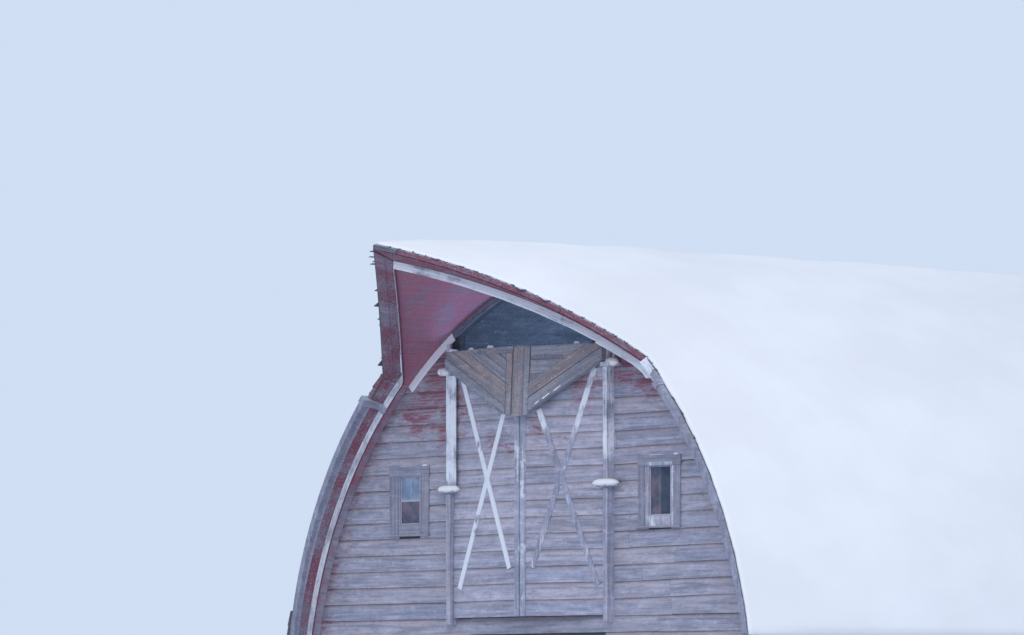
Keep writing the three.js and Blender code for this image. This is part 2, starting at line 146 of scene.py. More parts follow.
def on_arc(angle, depth, y, side=1):
    """Points on an arc at a depth, at a distance along the barn."""
    x, z = arc(angle, depth, side)
    return np.stack(np.broadcast_arrays(x, y, z), -1)


def arc_half_width(z, depth):
    """Half the gable's width at a height: the circle's x there, less the offset of its centre."""
    inside = np.clip((RADIUS - depth) ** 2 - (np.asarray(z) - ARC_Z) ** 2, 0.0, None)
    return np.sqrt(inside) - OFFSET


def prow(x, lines):
    """How far a line stands in front of the gable: straight from the tip to the hood's foot, then level."""
    tip, verge, half = lines
    return np.maximum(verge, tip + (verge - tip) * np.abs(x) / half)


def prow_edge(angle, depth, lines, side):
    """A long edge under the arc, as far in front of the gable as its prow line stands there."""
    return on_arc(angle, depth, FRONT - prow(arc(angle, depth)[0], lines), side)


def forward_edge(place):
    """Y of the roof's forward edge, by the distance down the slope from the ridge."""
    return FRONT - prow(arc(RIDGE_ANGLE + place / RADIUS)[0], ROOF_PROW)


def trim_depth(angle):
    """Depth of the trim under the arc: straight between the ridge, the hood's foot and the eave."""
    return np.interp(angle, (RIDGE_ANGLE, BASE_ANGLE, EAVE_ANGLE), TRIM_DEPTHS)


def ceiling_depth(angle):
    """Depth of the hood's ceiling: the trim's, and a drop."""
    return trim_depth(angle) + SOFFIT_DROP


def tube_faces(count, stations, around):
    """Faces of closed tubes: quads between neighbouring rings, and a cap at each end."""
    base = (np.arange(count) * stations * around)[:, None, None]
    i, j = np.meshgrid(np.arange(stations - 1), np.arange(around), indexing="ij")
    k = (j + 1) % around
    quads = np.stack([i * around + j, i * around + k, (i + 1) * around + k, (i + 1) * around + j], -1)
    quads = (base + quads.reshape(1, -1, 4)).reshape(-1, 4)
    first = np.arange(around)[::-1]
    last = (stations - 1) * around + np.arange(around)
    return [quads, (base + np.stack([first, last])[None]).reshape(-1, around)]


def tubes(points, seed=0, board=None, marks=0.0):
    """Closed tubes from points by tube, station and place around, with what their materials read.

    board is a number for each tube. grain is the distance along the tube, the distance round it, and a
    shift by tube. marks are shelter from the weather, painted shade in a groove, and warmth of the wood.
    """
    points = np.asarray(points, float)
    count, stations, around = points.shape[:3]
    board = rng(seed).random(count) if board is None else np.asarray(board, float)
    step = np.linalg.norm(np.diff(points[:, :, 0], axis=1), axis=-1)
    along = np.concatenate([np.zeros((count, 1)), np.cumsum(step, 1)], 1)[:, :, None]
    ring = np.linalg.norm(np.diff(points[:, :1], axis=2), axis=-1)
    across = np.concatenate([np.zeros((count, 1, 1)), np.cumsum(ring, 2)], 2)
    shift = 40.0 * (board + rng(seed + 7).random(count))[:, None, None]
    grain = np.stack(np.broadcast_arrays(along, across, shift), -1)
    return {"points": points.reshape(-1, 3), "faces": tube_faces(count, stations, around),
            "grain": grain.reshape(-1, 3), "marks": np.broadcast_to(marks, points.shape).reshape(-1, 3),
            "board": np.repeat(board, stations * around)}


def slabs(top, bottom, board=0.5):
    """Closed slabs from two grids of points, by slab, row and column: top, bottom and the rim between."""
    count, rows, columns = top.shape[:3]
    size = rows * columns
    index = np.arange(size).reshape(rows, columns)
    upper = np.stack([index[:-1, :-1], index[1:, :-1], index[1:, 1:], index[:-1, 1:]], -1).reshape(-1, 4)
    rim = np.concatenate([index[0, :], index[1:, -1], index[-1, -2::-1], index[-2:0:-1, 0]])
    around = np.roll(rim, -1)
    side = np.stack([around, rim, rim + size, around + size], -1)
    faces = np.concatenate([upper, upper[:, ::-1] + size, side])
    faces = (np.arange(count)[:, None, None] * 2 * size + faces[None]).reshape(-1, 4)
    points = np.concatenate([top.reshape(count, size, 3), bottom.reshape(count, size, 3)], 1).reshape(-1, 3)
    return {"points": points, "faces": [faces], "grain": points[:, [1, 0, 2]],
            "marks": np.zeros(points.shape), "board": np.full(len(points), board)}


def build(name, finish, shapes, smooth=False):
    """Joins shapes into one mesh, turns its faces out, and gives it its finish, slot and body."""
    faces, start = [], 0
    for shape in shapes:
        for block in shape["faces"]:
            faces += (block + start).tolist()
        start += len(shape["points"])
    join = {key: np.concatenate([shape[key] for shape in shapes])
            for key in ("points", "grain", "marks", "board")}
    mesh = bpy.data.meshes.new(name)
    mesh.from_pydata(join["points"].tolist(), [], faces)
    for key, kind, field in (("grain", "FLOAT_VECTOR", "vector"), ("marks", "FLOAT_VECTOR", "vector"),
                             ("board", "FLOAT", "value")):
        layer = mesh.attributes.new(key, kind, "POINT")
        layer.data.foreach_set(field, join[key].astype(np.float32).ravel())
    work = bmesh.new()
    work.from_mesh(mesh)
    bmesh.ops.recalc_face_normals(work, faces=work.faces)
    work.to_mesh(mesh)
    work.free()
    mesh.polygons.foreach_set("use_smooth", np.full(len(mesh.polygons), smooth))
    mesh.materials.append(MATERIALS[finish])
    thing = bpy.data.objects.new(name, mesh)
    bpy.context.scene.collection.objects.link(thing)
    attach(thing, "root")
    return thing


def plank_profile(thick, bevel=0.04, lift=0.0):
    """Section of a plank: share of its width against height over the face it lies on."""
    height = np.array([0.0, 0.7, 1.0, 1.0, 0.7, 0.0]) * thick + lift
    return np.array([0.0, 0.0, bevel, 1.0 - bevel, 1.0, 1.0]), height


def strip(a, b, out, profile):
    """A plank between two long edges: edge a, plus a share of the way to edge b, plus a height along out."""
    share, height = profile
    return (a[:, None] + share[None, :, None] * (b - a)[:, None]
            + height[None, :, None] * np.broadcast_to(out, a.shape)[:, None])


def square_to(a, b, towards):
    """Unit directions square to the face between two long edges, on the side that looks a given way."""
    out = np.cross(np.gradient(a, axis=0), b - a)
    out /= np.linalg.norm(out, axis=1, keepdims=True)
    return out * np.sign(out @ np.asarray(towards, float))[:, None]


def long_board(a, b, towards, profile, seed, low=0.0, high=1.0):
    """A board over the face between two long edges, from a low to a high share of the way across."""
    out = square_to(a, b, towards)
    return tubes(strip(a + low * (b - a), a + high * (b - a), out, profile)[None], seed)


# Where the eight corners of a bar's ring lie across it, and which way each is cut back
RING_PLACE = np.array([(0, 0), (0, 0), (1, 0), (1, 0), (1, 1), (1, 1), (0, 1), (0, 1)], float)
RING_INSET = np.array([(0, 1), (1, 0), (-1, 0), (0, 1), (0, -1), (-1, 0), (1, 0), (0, -1)], float)


def box_bars(corners, bevel):
    """Bars from pairs of opposite corners: a ring at each end of the longest side, with cut corners."""
    made = []
    for low, high in np.sort(np.array(corners, float), axis=1):
        axis = int(np.argmax(high - low))
        ring = np.zeros((2, 8, 3))
        ring[0, :, axis], ring[1, :, axis] = low[axis], high[axis]
        for n, k in enumerate(k for k in range(3) if k != axis):
            ring[:, :, k] = low[k] + RING_PLACE[:, n] * (high[k] - low[k]) + RING_INSET[:, n] * bevel
        made.append(ring)
    return np.array(made)


def patches(x, z, spots):
    """Round patches by their centres and their reaches across and up: the highest of their bell curves."""
    return np.max([np.exp(-((x - cx) / wide) ** 2 - ((z - cz) / tall) ** 2)
                   for cx, cz, wide, tall in spots], axis=0)


# Materials

class Recipe:
    """Short calls for one material's nodes: textures read Object coordinates or a piece's own attributes."""

    def __init__(self, name, roughness):
        """Starts a material of one roughness."""
        self.material = bpy.data.materials.new(name)
        self.material.use_nodes = True
        self.tree = self.material.node_tree
        self.shader = self.tree.nodes["Principled BSDF"]
        self.shader.inputs["Roughness"].default_value = roughness
        self.place = self.node("TexCoord").outputs["Object"]

    def put(self, socket, value):
        """Links a socket to another node's result, or sets it to a number, a vector or a colour."""
        if isinstance(value, bpy.types.NodeSocket):
            self.tree.links.new(value, socket)
        else:
            socket.default_value = (*value, 1.0) if socket.type == "RGBA" else value

    def node(self, kind, inputs=None, **settings):
        """A new shader node with its settings and its inputs."""
        made = self.tree.nodes.new(f"ShaderNode{kind}")
        for key, value in settings.items():
            setattr(made, key, value)
        for key, value in (inputs or {}).items():
            self.put(made.inputs[key], value)
        return made

    def read(self, name, output="Vector"):
        """One of the piece's own attributes."""
        return self.node("Attribute", attribute_name=name).outputs[output]

    def part(self, vector, axis):
        """A vector's value along one axis."""
        return self.node("SeparateXYZ", {0: vector}).outputs[axis]

    def stretched(self, vector, scale):
        """A vector times a scale for each axis."""
        return self.node("Mapping", {"Vector": vector, "Scale": scale}).outputs["Vector"]

    def noise(self, vector, scale=1.0, detail=4.0, rough=0.55, distortion=0.0):
        """Clouds of noise at a place, from 0 to 1."""
        return self.node("TexNoise", {"Vector": vector, "Scale": scale, "Detail": detail, "Roughness": rough,
                                      "Distortion": distortion}).outputs["Fac"]

    def math(self, operation, a, b):
        """An arithmetic step with two values."""
        return self.node("Math", {0: a, 1: b}, operation=operation).outputs[0]

    def times(self, a, b):
        """a times b."""
        return self.math("MULTIPLY", a, b)

    def plus(self, a, b):
        """a plus b."""
        return self.math("ADD", a, b)

    def step(self, value, low, high):
        """0 below low, 1 above high, and smooth between them."""
        return self.node("MapRange", {"Value": value, "From Min": low, "From Max": high},
                         interpolation_type="SMOOTHSTEP").outputs["Result"]

    def mix(self, share, a, b):
        """Colour a, moved a share of the way to colour b."""
        return self.node("Mix", {"Factor": share, "A": a, "B": b}, data_type="RGBA").outputs["Result"]

    def over(self, tone, colour, share, source, low, high):
        """Lays a colour over a tone, up to a share, where a source passes from low to high."""
        return self.mix(self.times(self.step(source, low, high), share), tone, colour)

    def upward(self):
        """How far a face looks up: 0 on a wall, 1 on a level top."""
        return self.part(self.node("NewGeometry").outputs["Normal"], "Z")

    def finish(self, tone, height, distance, strength):
        """Gives the shader its colour and its relief."""
        self.put(self.shader.inputs["Base Color"], tone)
        bump = self.node("Bump", {"Height": height, "Distance": distance, "Strength": strength})
        self.put(self.shader.inputs["Normal"], bump.outputs["Normal"])
        return self.material


def shade(colour, share):
    """A colour times a number, or times another colour."""
    return tuple(np.multiply(colour, share).tolist())


# How the grain is drawn out along a way, or along the board itself
DRAWN = {"x": (1.1, 24.0, 24.0), "y": (24.0, 1.1, 24.0), "z": (24.0, 24.0, 1.1), None: (1.1, 24.0, 1.0)}

# Tints that all old wood has, and the painted shade of its grooves
PITH = (0.06, 0.055, 0.07)
BROWNED = (0.98, 0.86, 0.80)
WARM = (0.50, 0.36, 0.34)
# GROOVE_SHADE is painted shade, laid in the siding's grooves under each board's overhanging foot
GROOVE_SHADE = (0.035, 0.033, 0.045)
FROST = (0.78, 0.82, 0.90)

# Tones of the kinds of wood: one board, another board, and the streaks in both
PALE = ((0.40, 0.41, 0.48), (0.52, 0.51, 0.58), (0.34, 0.33, 0.39))
BARE = ((0.33, 0.36, 0.43), (0.37, 0.29, 0.27), (0.15, 0.15, 0.19))
DARK = ((0.11, 0.105, 0.125), (0.18, 0.17, 0.195), (0.07, 0.067, 0.085))
TIMBER = ((0.24, 0.19, 0.15), (0.32, 0.25, 0.20), (0.16, 0.12, 0.10))
# SHADED is the grey wood made darker as painted shade, for the boards under the hood and along its edge
SHADED = ((0.22, 0.23, 0.30), (0.29, 0.27, 0.33), (0.16, 0.16, 0.21))
VERGE = ((0.27, 0.29, 0.38), (0.33, 0.32, 0.40), (0.20, 0.21, 0.28))
RIM = ((0.12, 0.125, 0.165), (0.17, 0.165, 0.21), (0.09, 0.09, 0.12))
# DIM_SHADE is the grey wood made much darker: painted shade for the frieze boards under the hood near the
# ridge
DIM_SHADE = ((0.15, 0.17, 0.22), (0.21, 0.22, 0.28), (0.10, 0.11, 0.15))
CASED = ((0.27, 0.28, 0.36), (0.33, 0.31, 0.37), (0.20, 0.20, 0.27))
# HOLLOW_SHADE is near-black wood: painted shade for the gable's sheathing where it shows through gaps in the
# siding, most beside the hay opening
HOLLOW_SHADE = ((0.060, 0.062, 0.080), (0.090, 0.085, 0.100), (0.040, 0.040, 0.055))
GREY_STREAKS = (0.26, 0.26, 0.34)
FRIEZE_WHITE = (0.92, 0.92, 0.96)
SASH_GREY = (0.40, 0.42, 0.48)


def wood(name, tones, along=None, paint=None, frost=0.2, settled=0.6, mottling=1.0):
    """Old wood: grain drawn out along the board, streaks, a tone by board, worn paint, frost and snow."""
    r = Recipe(name, 0.85)
    place = r.place if along else r.read("grain")
    marks = r.read("marks")
    drawn = DRAWN[along]
    fibres = r.noise(r.stretched(place, drawn), 1.0, 6.0, 0.66, 0.3)
    streaks = r.noise(r.stretched(place, shade(drawn, 0.28)), 1.0, 3.0, 0.5)
    blotch = r.noise(r.place, 0.9, 3.0)
    mottle = r.noise(r.stretched(r.place, (2.6, 2.6, 6.5)), 1.7, 7.0, 0.78)
    stain = r.noise(r.stretched(r.place, (1.0, 1.0, 2.2)), 2.1, 5.0, 0.68)
    bleached = shade(tones[1], 1.42)
    tone = r.mix(r.step(r.read("board", "Fac"), 0.0, 1.0), tones[0], tones[1])
    for colour, share, source, low, high in (
            (tones[2], 0.6, streaks, 0.42, 0.68), (PITH, 0.42, fibres, 0.56, 0.36),
            (bleached, 0.45, fibres, 0.54, 0.70), (shade(tones[1], 1.2), 0.25, blotch, 0.40, 0.66),
            (shade(tones[0], 0.62), 0.54 * mottling, mottle, 0.49, 0.63),
            (bleached, 0.40 * mottling, mottle, 0.46, 0.36),
            (shade(tones[1], BROWNED), 0.28, stain, 0.50, 0.64)):
        tone = r.over(tone, colour, share, source, low, high)
    tone = r.mix(r.times(r.part(marks, "Z"), 0.42), tone, WARM)
    if paint:
        tone = paint(r, tone, fibres, marks)
    # Painted shade in the grooves, where marks Y are high
    tone = r.mix(r.times(r.part(marks, "Y"), 0.50), tone, GROOVE_SHADE)
    flecks = r.noise(r.place, 48.0, 2.0, 0.7)
    dusting = r.times(r.step(flecks, 0.55, 0.72), frost)
    lying = r.times(r.step(r.plus(r.upward(), r.times(flecks, 0.5)), 0.85, 1.1), settled)
    tone = r.mix(r.math("MAXIMUM", dusting, lying), tone, FROST)
    return r.finish(tone, r.plus(fibres, r.times(streaks, 0.5)), 0.004, 0.6)


def red_remains(colour):
    """Paint that is left in flakes where the marks say that a board is sheltered."""
    def lay(r, tone, fibres, marks):
        """Flakes of noise and a share of the shelter, kept where the fibres are high."""
        flakes = r.noise(r.stretched(r.place, (1.4, 1.4, 5.5)), 2.6, 6.0, 0.74)
        share = r.plus(flakes, r.times(r.part(marks, "X"), 0.40))
        worn = r.times(r.step(share, 0.60, 0.84), r.step(fibres, 0.36, 0.56))
        return r.mix(r.times(worn, 0.90), tone, colour)
    return lay


def worn_paint(colour, cover, soft=0.06, high=None, high_cover=0.0):
    """Paint over old wood: whole where cover is high, peeling along the grain where it is low.

    Above a height the cover may change to another one.
    """
    def lay(r, tone, fibres, marks):
        """Paint where flakes of noise, fibres and cover add up to almost one."""
        flakes = r.noise(r.place, 2.6, 5.0, 0.7)
        share = r.plus(r.plus(r.times(flakes, 0.9), r.times(fibres, 0.5)), cover - 0.2)
        if high:
            above = r.step(r.part(r.place, "Z"), high - 0.12, high + 0.12)
            share = r.plus(share, r.times(above, high_cover - cover))
        return r.mix(r.step(share, 0.98 - soft, 0.98 + soft), tone, colour)
    return lay


def snow_material(colour):
    """Dry snow: almost white, a little blue, with soft drifts and a fine relief."""
    r = Recipe("snow", 0.7)
    drift = r.noise(r.stretched(r.place, (0.6, 0.35, 0.6)), 1.0, 3.0)
    fine = r.noise(r.place, 22.0, 4.0, 0.6)
    r.shader.inputs["Specular IOR Level"].default_value = 0.2
    tone = r.mix(r.step(drift, 0.3, 0.7), shade(colour, 0.93), colour)
    return r.finish(tone, r.plus(drift, r.times(fine, 0.10)), 0.03, 0.35)


def concrete_material():
    """Cast concrete: cloudy greys, dark pores and faint lines of its form boards."""
    r = Recipe("concrete", 0.9)
    cloud = r.noise(r.place, 2.2, 6.0, 0.65)
    pores = r.noise(r.place, 40.0, 3.0, 0.6)
    boards = r.noise(r.stretched(r.place, (0.3, 0.3, 9.0)), 1.0, 2.0)
    tone = r.mix(r.step(cloud, 0.3, 0.7), (0.30, 0.30, 0.31), (0.45, 0.45, 0.46))
    tone = r.over(tone, (0.16, 0.16, 0.17), 0.5, pores, 0.62, 0.70)
    tone = r.over(tone, (0.24, 0.24, 0.25), 0.3, boards, 0.45, 0.65)
    return r.finish(tone, r.plus(cloud, pores), 0.004, 0.6)


def glass_material(name, low, high):
    """Old window glass in clouds between two tones, and a slow ripple: the painted dark of the barn behind
    it, or on the upper front panes a painted reflection of the sky.
    """
    r = Recipe(name, 0.10)
    cloud = r.noise(r.place, 3.4, 4.0, 0.6)
    r.shader.inputs["Specular IOR Level"].default_value = 0.35
    return r.finish(r.mix(r.step(cloud, 0.38, 0.62), low, high), r.noise(r.place, 5.0, 2.0), 0.003, 0.5)


MATERIALS = {}
SLOT_FINISH = {
    "concrete": "concrete", "siding": "siding_along_x", "shingle": "shingle_along_y",
    "red_boards": "red_along_y", "white_trim": "white_along_z", "grey_trim": "grey_along_z",
    "bare_wood": "bare_along_z", "timber": "timber_along_y", "sash": "sash_along_z",
}
NODE_FINISH = {
    "left_door_track": "left_track_wood", "right_door_track": "right_track_wood",
    "left_wall": "siding_along_y", "right_wall": "siding_along_y", "front_wall": "bare_sheathing",
    "front_ground_door": "siding_along_z", "back_ground_door": "siding_along_z",
    "left_cross_brace": "white_along_z", "right_cross_brace": "right_brace_wood",
    "left_meeting_stile": "stile_wood", "right_meeting_stile": "stile_wood", "left_hood_trim": "red_along_y",
    "left_frieze_board": "shaded_frieze", "right_frieze_board": "shaded_frieze",
    "left_verge_board": "verge_edge_wood", "right_verge_board": "verge_edge_wood",
}


def make_materials(colours):
    """One finish for each kind of surface. Along x, y or z is the way that the grain runs; the others follow
    their boards."""
    red, dark_red, ceiling, white, snow, blue, mauve = (tuple(getattr(colours, key)) for key in (
        "red", "dark_red", "ceiling", "white", "snow", "grey_blue", "grey_mauve"))
    greys = (blue, mauve, GREY_STREAKS)
    light = tuple(shade(tone, 1.10) for tone in greys)
    remains, sash_paint = red_remains(red), worn_paint(SASH_GREY, 0.35)
    woods = (
        ("siding_boards", greys, None, remains),
        ("door_boards", light, None, remains),
        ("plank_doors", greys, None, remains, 0.15),
        ("casing_boards", CASED, None, worn_paint(white, 0.14), 0.15),
        ("shaded_frieze", DIM_SHADE, None, None, 0.10),
        ("frieze_paint", PALE, None, worn_paint(FRIEZE_WHITE, 0.72), 0.05),
        ("roof_edge_wood", RIM, None, None, 0.08),
        ("verge_wood", VERGE, None, None, 0.34),
        ("soffit_paint", greys, None, worn_paint(ceiling, 0.38, 0.16, 4.7, 0.50), 0.40),
        ("ceiling_paint", SHADED, None, worn_paint(ceiling, 0.58, 0.16), 0.22),
        ("red_boards", SHADED, None, worn_paint(dark_red, 0.60, 0.14), 0.30),
        ("worn_red_boards", SHADED, None, worn_paint(dark_red, 0.52, 0.16), 0.36),
        ("white_trim", PALE, None, worn_paint(white, 0.57, 0.10), 0.10),
        ("pale_trim", PALE, None, worn_paint(white, 0.48, 0.14), 0.12),
        ("grey_trim", light, None, worn_paint(white, 0.16)),
        ("bare_planks", BARE, None, None, 0.42, 0.6, 1.6),
        ("old_shingles", DARK, None, None, 0.35, 0.9),
        ("sash_wood", PALE, None, sash_paint, 0.15),
        ("bare_sheathing", HOLLOW_SHADE, "x", None, 0.05),
        ("verge_edge_wood", VERGE, "z", None, 0.34),
        ("left_track_wood", light, "z", worn_paint(white, 0.20, 0.13, 4.66, 0.56), 0.15),
        ("right_track_wood", light, "z", worn_paint(white, 0.16, 0.14, 4.95, 0.46), 0.15),
        ("right_brace_wood", light, "z", worn_paint(white, 0.30, 0.14, 5.35, 0.56), 0.12),
        ("stile_wood", light, "z", worn_paint(white, 0.40, 0.10), 0.12),
        ("siding_along_x", greys, "x", remains),
        ("siding_along_y", greys, "y", remains),
        ("siding_along_z", greys, "z", remains),
        ("shingle_along_y", DARK, "y"),
        ("timber_along_y", TIMBER, "y"),
        ("red_along_y", SHADED, "y", worn_paint(dark_red, 0.62)),
        ("white_along_z", PALE, "z", worn_paint(white, 0.62)),
        ("grey_along_z", light, "z", worn_paint(white, 0.15)),
        ("bare_along_z", BARE, "z"),
        ("sash_along_z", PALE, "z", sash_paint),
    )
    made = {row[0]: wood(*row) for row in woods}
    made["snow"] = snow_material(snow)
    made["concrete"] = concrete_material()
    # The light tones of the upper front panes are a painted reflection of the sky; the other glass holds the
    # painted dark of the barn behind it
    for name, low, high in (("dark_glass", (0.015, 0.035, 0.08), (0.05, 0.07, 0.11)),
                            ("sky_reflection_glass", (0.17, 0.23, 0.34), (0.31, 0.38, 0.49)),
                            ("reddish_glass", (0.06, 0.075, 0.13), (0.185, 0.140, 0.180))):
        made[name] = glass_material(name, low, high)
    return made


# Siding

BOARD_GAP = 0.004
SIDING_FOOT = FLOOR + 0.02
WALL_BOARD = 0.019
LEAF_BOARD = 0.013
CORNER_BOARD = 0.045
CORNER_WIDTH = 0.10

# How far the gable's courses rise on the right, where that starts, and over which length
RIGHT_RISE = 0.03
RISE_START = 1.7
RISE_LENGTH = 2.0

# Outline of a drop-siding board by height share: how far its face stands out, its painted shade and its warm
# tone
COVE_RISE = np.array([0.0, 0.0, 0.02, 0.76, 0.82, 0.90, 1.0, 1.0])
COVE_OUT = np.array([0.0, 0.92, 1.0, 0.98, 0.66, 0.36, 0.30, 0.0])
# COVE_SHADE is painted shade: most in the groove under the next board's overhanging foot, some on the
# board's own foot
COVE_SHADE = np.array([0.3, 0.3, 0.0, 0.0, 0.0, 0.35, 1.0, 1.0])
COVE_WARMTH = np.array([0.0, 0.1, 0.0, 0.0, 0.75, 0.75, 0.2, 0.0])

# Patches of red paint that are left on the gable and on the leaves, by centre and reach
WALL_SPOTS = ((-1.95, 6.20, 0.45, 0.55), (1.95, 6.30, 0.50, 0.34), (-1.85, 5.55, 0.25, 0.40),
              (-2.35, 5.75, 0.5, 0.4), (2.5, 6.05, 0.45, 0.3))
LEAF_SPOTS = {-1: ((1.45, 5.75, 0.25, 0.45), (0.62, 5.25, 0.28, 0.18), (0.2, 5.15, 0.18, 0.14)),
              1: ((1.2, 6.0, 0.35, 0.35), (0.85, 5.22, 0.20, 0.12), (0.30, 5.5, 0.15, 0.25))}


def courses(low, high, course, limits, spans_at, seed, thick=WALL_BOARD, stations=12):
    """Boards of every course: height by the profile, from one end to the other, and a little bowed.

    The face is flat; its top fifth curves in as a cove, and the next board's foot overhangs it. An end that
    is None follows the wall's own edge.
    """
    draw = rng(seed)
    out = COVE_OUT * thick
    share = np.linspace(0.0, 1.0, stations)[:, None]
    made = []
    for number in range(int(math.ceil((high - low) / course))):
        z0 = low + number * course
        z1 = min(z0 + course, high)
        z = z0 + COVE_RISE * (z1 - z0)
        first, last = limits(z)
        for left, right in spans_at(z0, z1):
            sag = draw.normal(0.0, 0.0015) + share * draw.normal(0.0, 0.0025)
            bow = abs(draw.normal(0.0, 0.002)) * np.sin(np.pi * share) + abs(draw.normal(0.0, 0.0012))
            a = (first if left is None else left) + BOARD_GAP / 2
            b = (last if right is None else right) - BOARD_GAP / 2
            made.append(np.stack(np.broadcast_arrays(
                a + (b - a) * share, np.clip(z + sag, low, high), out + bow * (out > 0)), -1))
    flat = np.array(made)
    marks = np.zeros(flat.shape)
    # marks Y carry the painted shade of the grooves, marks Z the warm tone
    marks[..., 1], marks[..., 2] = COVE_SHADE, COVE_WARMTH
    return flat, marks


def joints(low, high, draw, shortest=2.4, longest=4.9, least=0.6):
    """Ends of the boards of one course: random lengths until the course is full."""
    marks = [low]
    while marks[-1] < high - shortest:
        marks.append(marks[-1] + draw.uniform(shortest, longest))
    while len(marks) > 1 and high - marks[-1] < least:
        marks.pop()
    return marks + [high]


def course_spans(limits, holes, draw):
    """Makes the function that cuts a course by its limits, its holes and its butt joints."""
    def spans_at(z0, z1):
        """Left and right end of each board of a course; None stands for the wall's own edge."""
        low, high = (float(v) for v in limits(0.5 * (z0 + z1)))
        cuts = joints(low, high, draw)
        inside = [h[:2] for h in holes if z1 > h[2] + 0.01 and z0 < h[3] - 0.01]
        for x0, x1 in inside:
            cuts = [c for c in cuts if c < x0 or c > x1] + [x0, x1]
        cuts = sorted(c for c in cuts if low <= c <= high)
        return [(None if a <= low else a, None if b >= high else b) for a, b in zip(cuts[:-1], cuts[1:])
                if b - a >= 0.02 and not any(x0 < 0.5 * (a + b) < x1 for x0, x1 in inside)]
    return spans_at


def gable_holes(front):
    """Openings in a gable's siding, by left, right, foot and head."""
    reach = 0.5 * WINDOW_WIDE
    holes = [(s * WINDOW_X - reach, s * WINDOW_X + reach, SASH_LOW[2], SASH_HIGH[2]) for s in SIDES]
    (left, _, _), (right, _, head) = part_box("front_ground_door")
    holes.append((left, right, 0.0, head))
    if front:
        holes.append((-DOOR_HALF, DOOR_HALF, DOOR_FOOT + 0.04, RIDGE))
        # A strip left of the hay door, above the hinge, where the near-black sheathing shows as painted
        # shade beside the opening
        holes.append((-DOOR_HALF - 0.14, -DOOR_HALF, HINGE + 0.03, RIDGE))
    return holes


def wall_shelter(x, z):
    """Paint left on the gable: most under the arch, fading below it, and in patches by the tracks."""
    depth = RADIUS - np.sqrt((np.abs(x) + OFFSET) ** 2 + (z - ARC_Z) ** 2)
    under_arch = 0.10 + 0.46 * np.clip(1.0 - (depth - 0.15) / 0.45, 0.0, 1.0)
    return np.maximum(under_arch, patches(x, z, WALL_SPOTS))


def gable_siding(front, course):
    """Drop siding on a gable: boards from corner to corner or arch to arch, cut round doors and windows.

    On the front, the courses to the right of the hay door rise a little towards the corner.
    """
    name, depth = ("front_siding", 0.14) if front else ("back_siding", 0.07)

    def limits(z):
        """Both ends at a height: the corners, or the arch at a depth where it is narrower."""
        wide = np.where(np.asarray(z) > PLATE, np.minimum(arc_half_width(z, depth), HALF), HALF)
        return -wide, wide

    spans = course_spans(limits, gable_holes(front), rng(11 if front else 12))
    flat, marks = courses(SIDING_FOOT, RIDGE - 0.20, course, limits, spans, 21 if front else 22)
    x, z, out = flat[..., 0], flat[..., 1], flat[..., 2]
    marks[..., 0] = wall_shelter(x, z)
    if front:
        z = z + RIGHT_RISE * np.clip((x - RISE_START) / RISE_LENGTH, 0.0, 1.0) * (z > DOOR_FOOT)
    points = np.stack([x, FRONT - out if front else BACK + out, z], -1)
    build(name, "siding_boards", [tubes(points, 31, marks=marks)])


def side_siding(side, course):
    """Drop siding on a side wall: straight courses from gable to gable, cut round six windows."""
    reach = SIDE_WIDE / 2 - 0.01
    holes = [(y - reach, y + reach, SIDE_HEAD - SIDE_TALL - 0.02, SIDE_HEAD) for y in BAY_CENTRES]

    def limits(z):
        """Both gables, at every height."""
        return FRONT, BACK

    spans = course_spans(limits, holes, rng(14 + side))
    flat, marks = courses(SIDING_FOOT, PLATE - 0.01, course, limits, spans, 24 + side)
    y, z, out = flat[..., 0], flat[..., 1], flat[..., 2]
    marks[..., 0] = 0.5 * np.clip((z - 1.9) / 0.8, 0.0, 1.0)
    shape = tubes(np.stack([side * (HALF + out), y, z], -1), 32, marks=marks)
    build(f"{SIDES[side]}_siding", "siding_boards", [shape])


def leaf_lean(x):
    """How far a leaf stands forward: nothing at the track, and most at the meeting edge."""
    return LEAF_FORWARD * np.clip(1.0 - np.abs(x) / LEAF_HALF, 0.0, 1.0)


def leaf_siding(side, course):
    """The same boards on a hay door leaf, cut by its sloping head and bent forward to the meeting edge."""
    head = HINGE - LEAF_HEAD

    def limits(z):
        """The sloping head or the middle at a height, and the leaf's outer edge."""
        return np.maximum(0.014, LEAF_HALF * (1.0 - (head - z) / LEAF_SLOPE) + 0.01), LEAF_HALF - 0.002

    def spans_at(z0, z1):
        """One board from edge to edge."""
        return [(None, None)]

    flat, marks = courses(DOOR_FOOT, head - 0.06, course, limits, spans_at, 41 + side, LEAF_BOARD, 14)
    x, z, out = flat[..., 0], flat[..., 1], flat[..., 2]
    marks[..., 0] = 0.7 * patches(x, z, LEAF_SPOTS[side])
    y = FRONT - LEAF_FACE - leaf_lean(x) - out
    shape = tubes(np.stack([side * x, y, z], -1), 33 + side, marks=marks)
    build(f"{SIDES[side]}_door_boards", "door_boards", [shape])


def corner_boards():
    """Upright boards on the four corners of the walls, two to a corner, lapped at the edge."""
    foot, head = SIDING_FOOT, PLATE - 0.30
    bars = []
    for side in SIDES:
        for end, out in ((FRONT, -1), (BACK, 1)):
            bars.append(((side * (HALF + CORNER_BOARD), end + out * WALL_BOARD, foot),
                         (side * (HALF - CORNER_WIDTH), end + out * CORNER_BOARD, head)))
            bars.append(((side * (HALF + WALL_BOARD), end + out * (WALL_BOARD - 0.001), foot),
                         (side * (HALF + CORNER_BOARD), end - out * CORNER_WIDTH, head)))
    build("corner_boards", "grey_trim", [tubes(box_bars(bars, 0.003), 35)])


# Roof

# Shingles of a course, how far they reach past the eave, and the share that hangs out over the hood's edge
PER_COURSE = 150
EAVE_LAP = 0.035
LOOSE_SHARE = 0.05

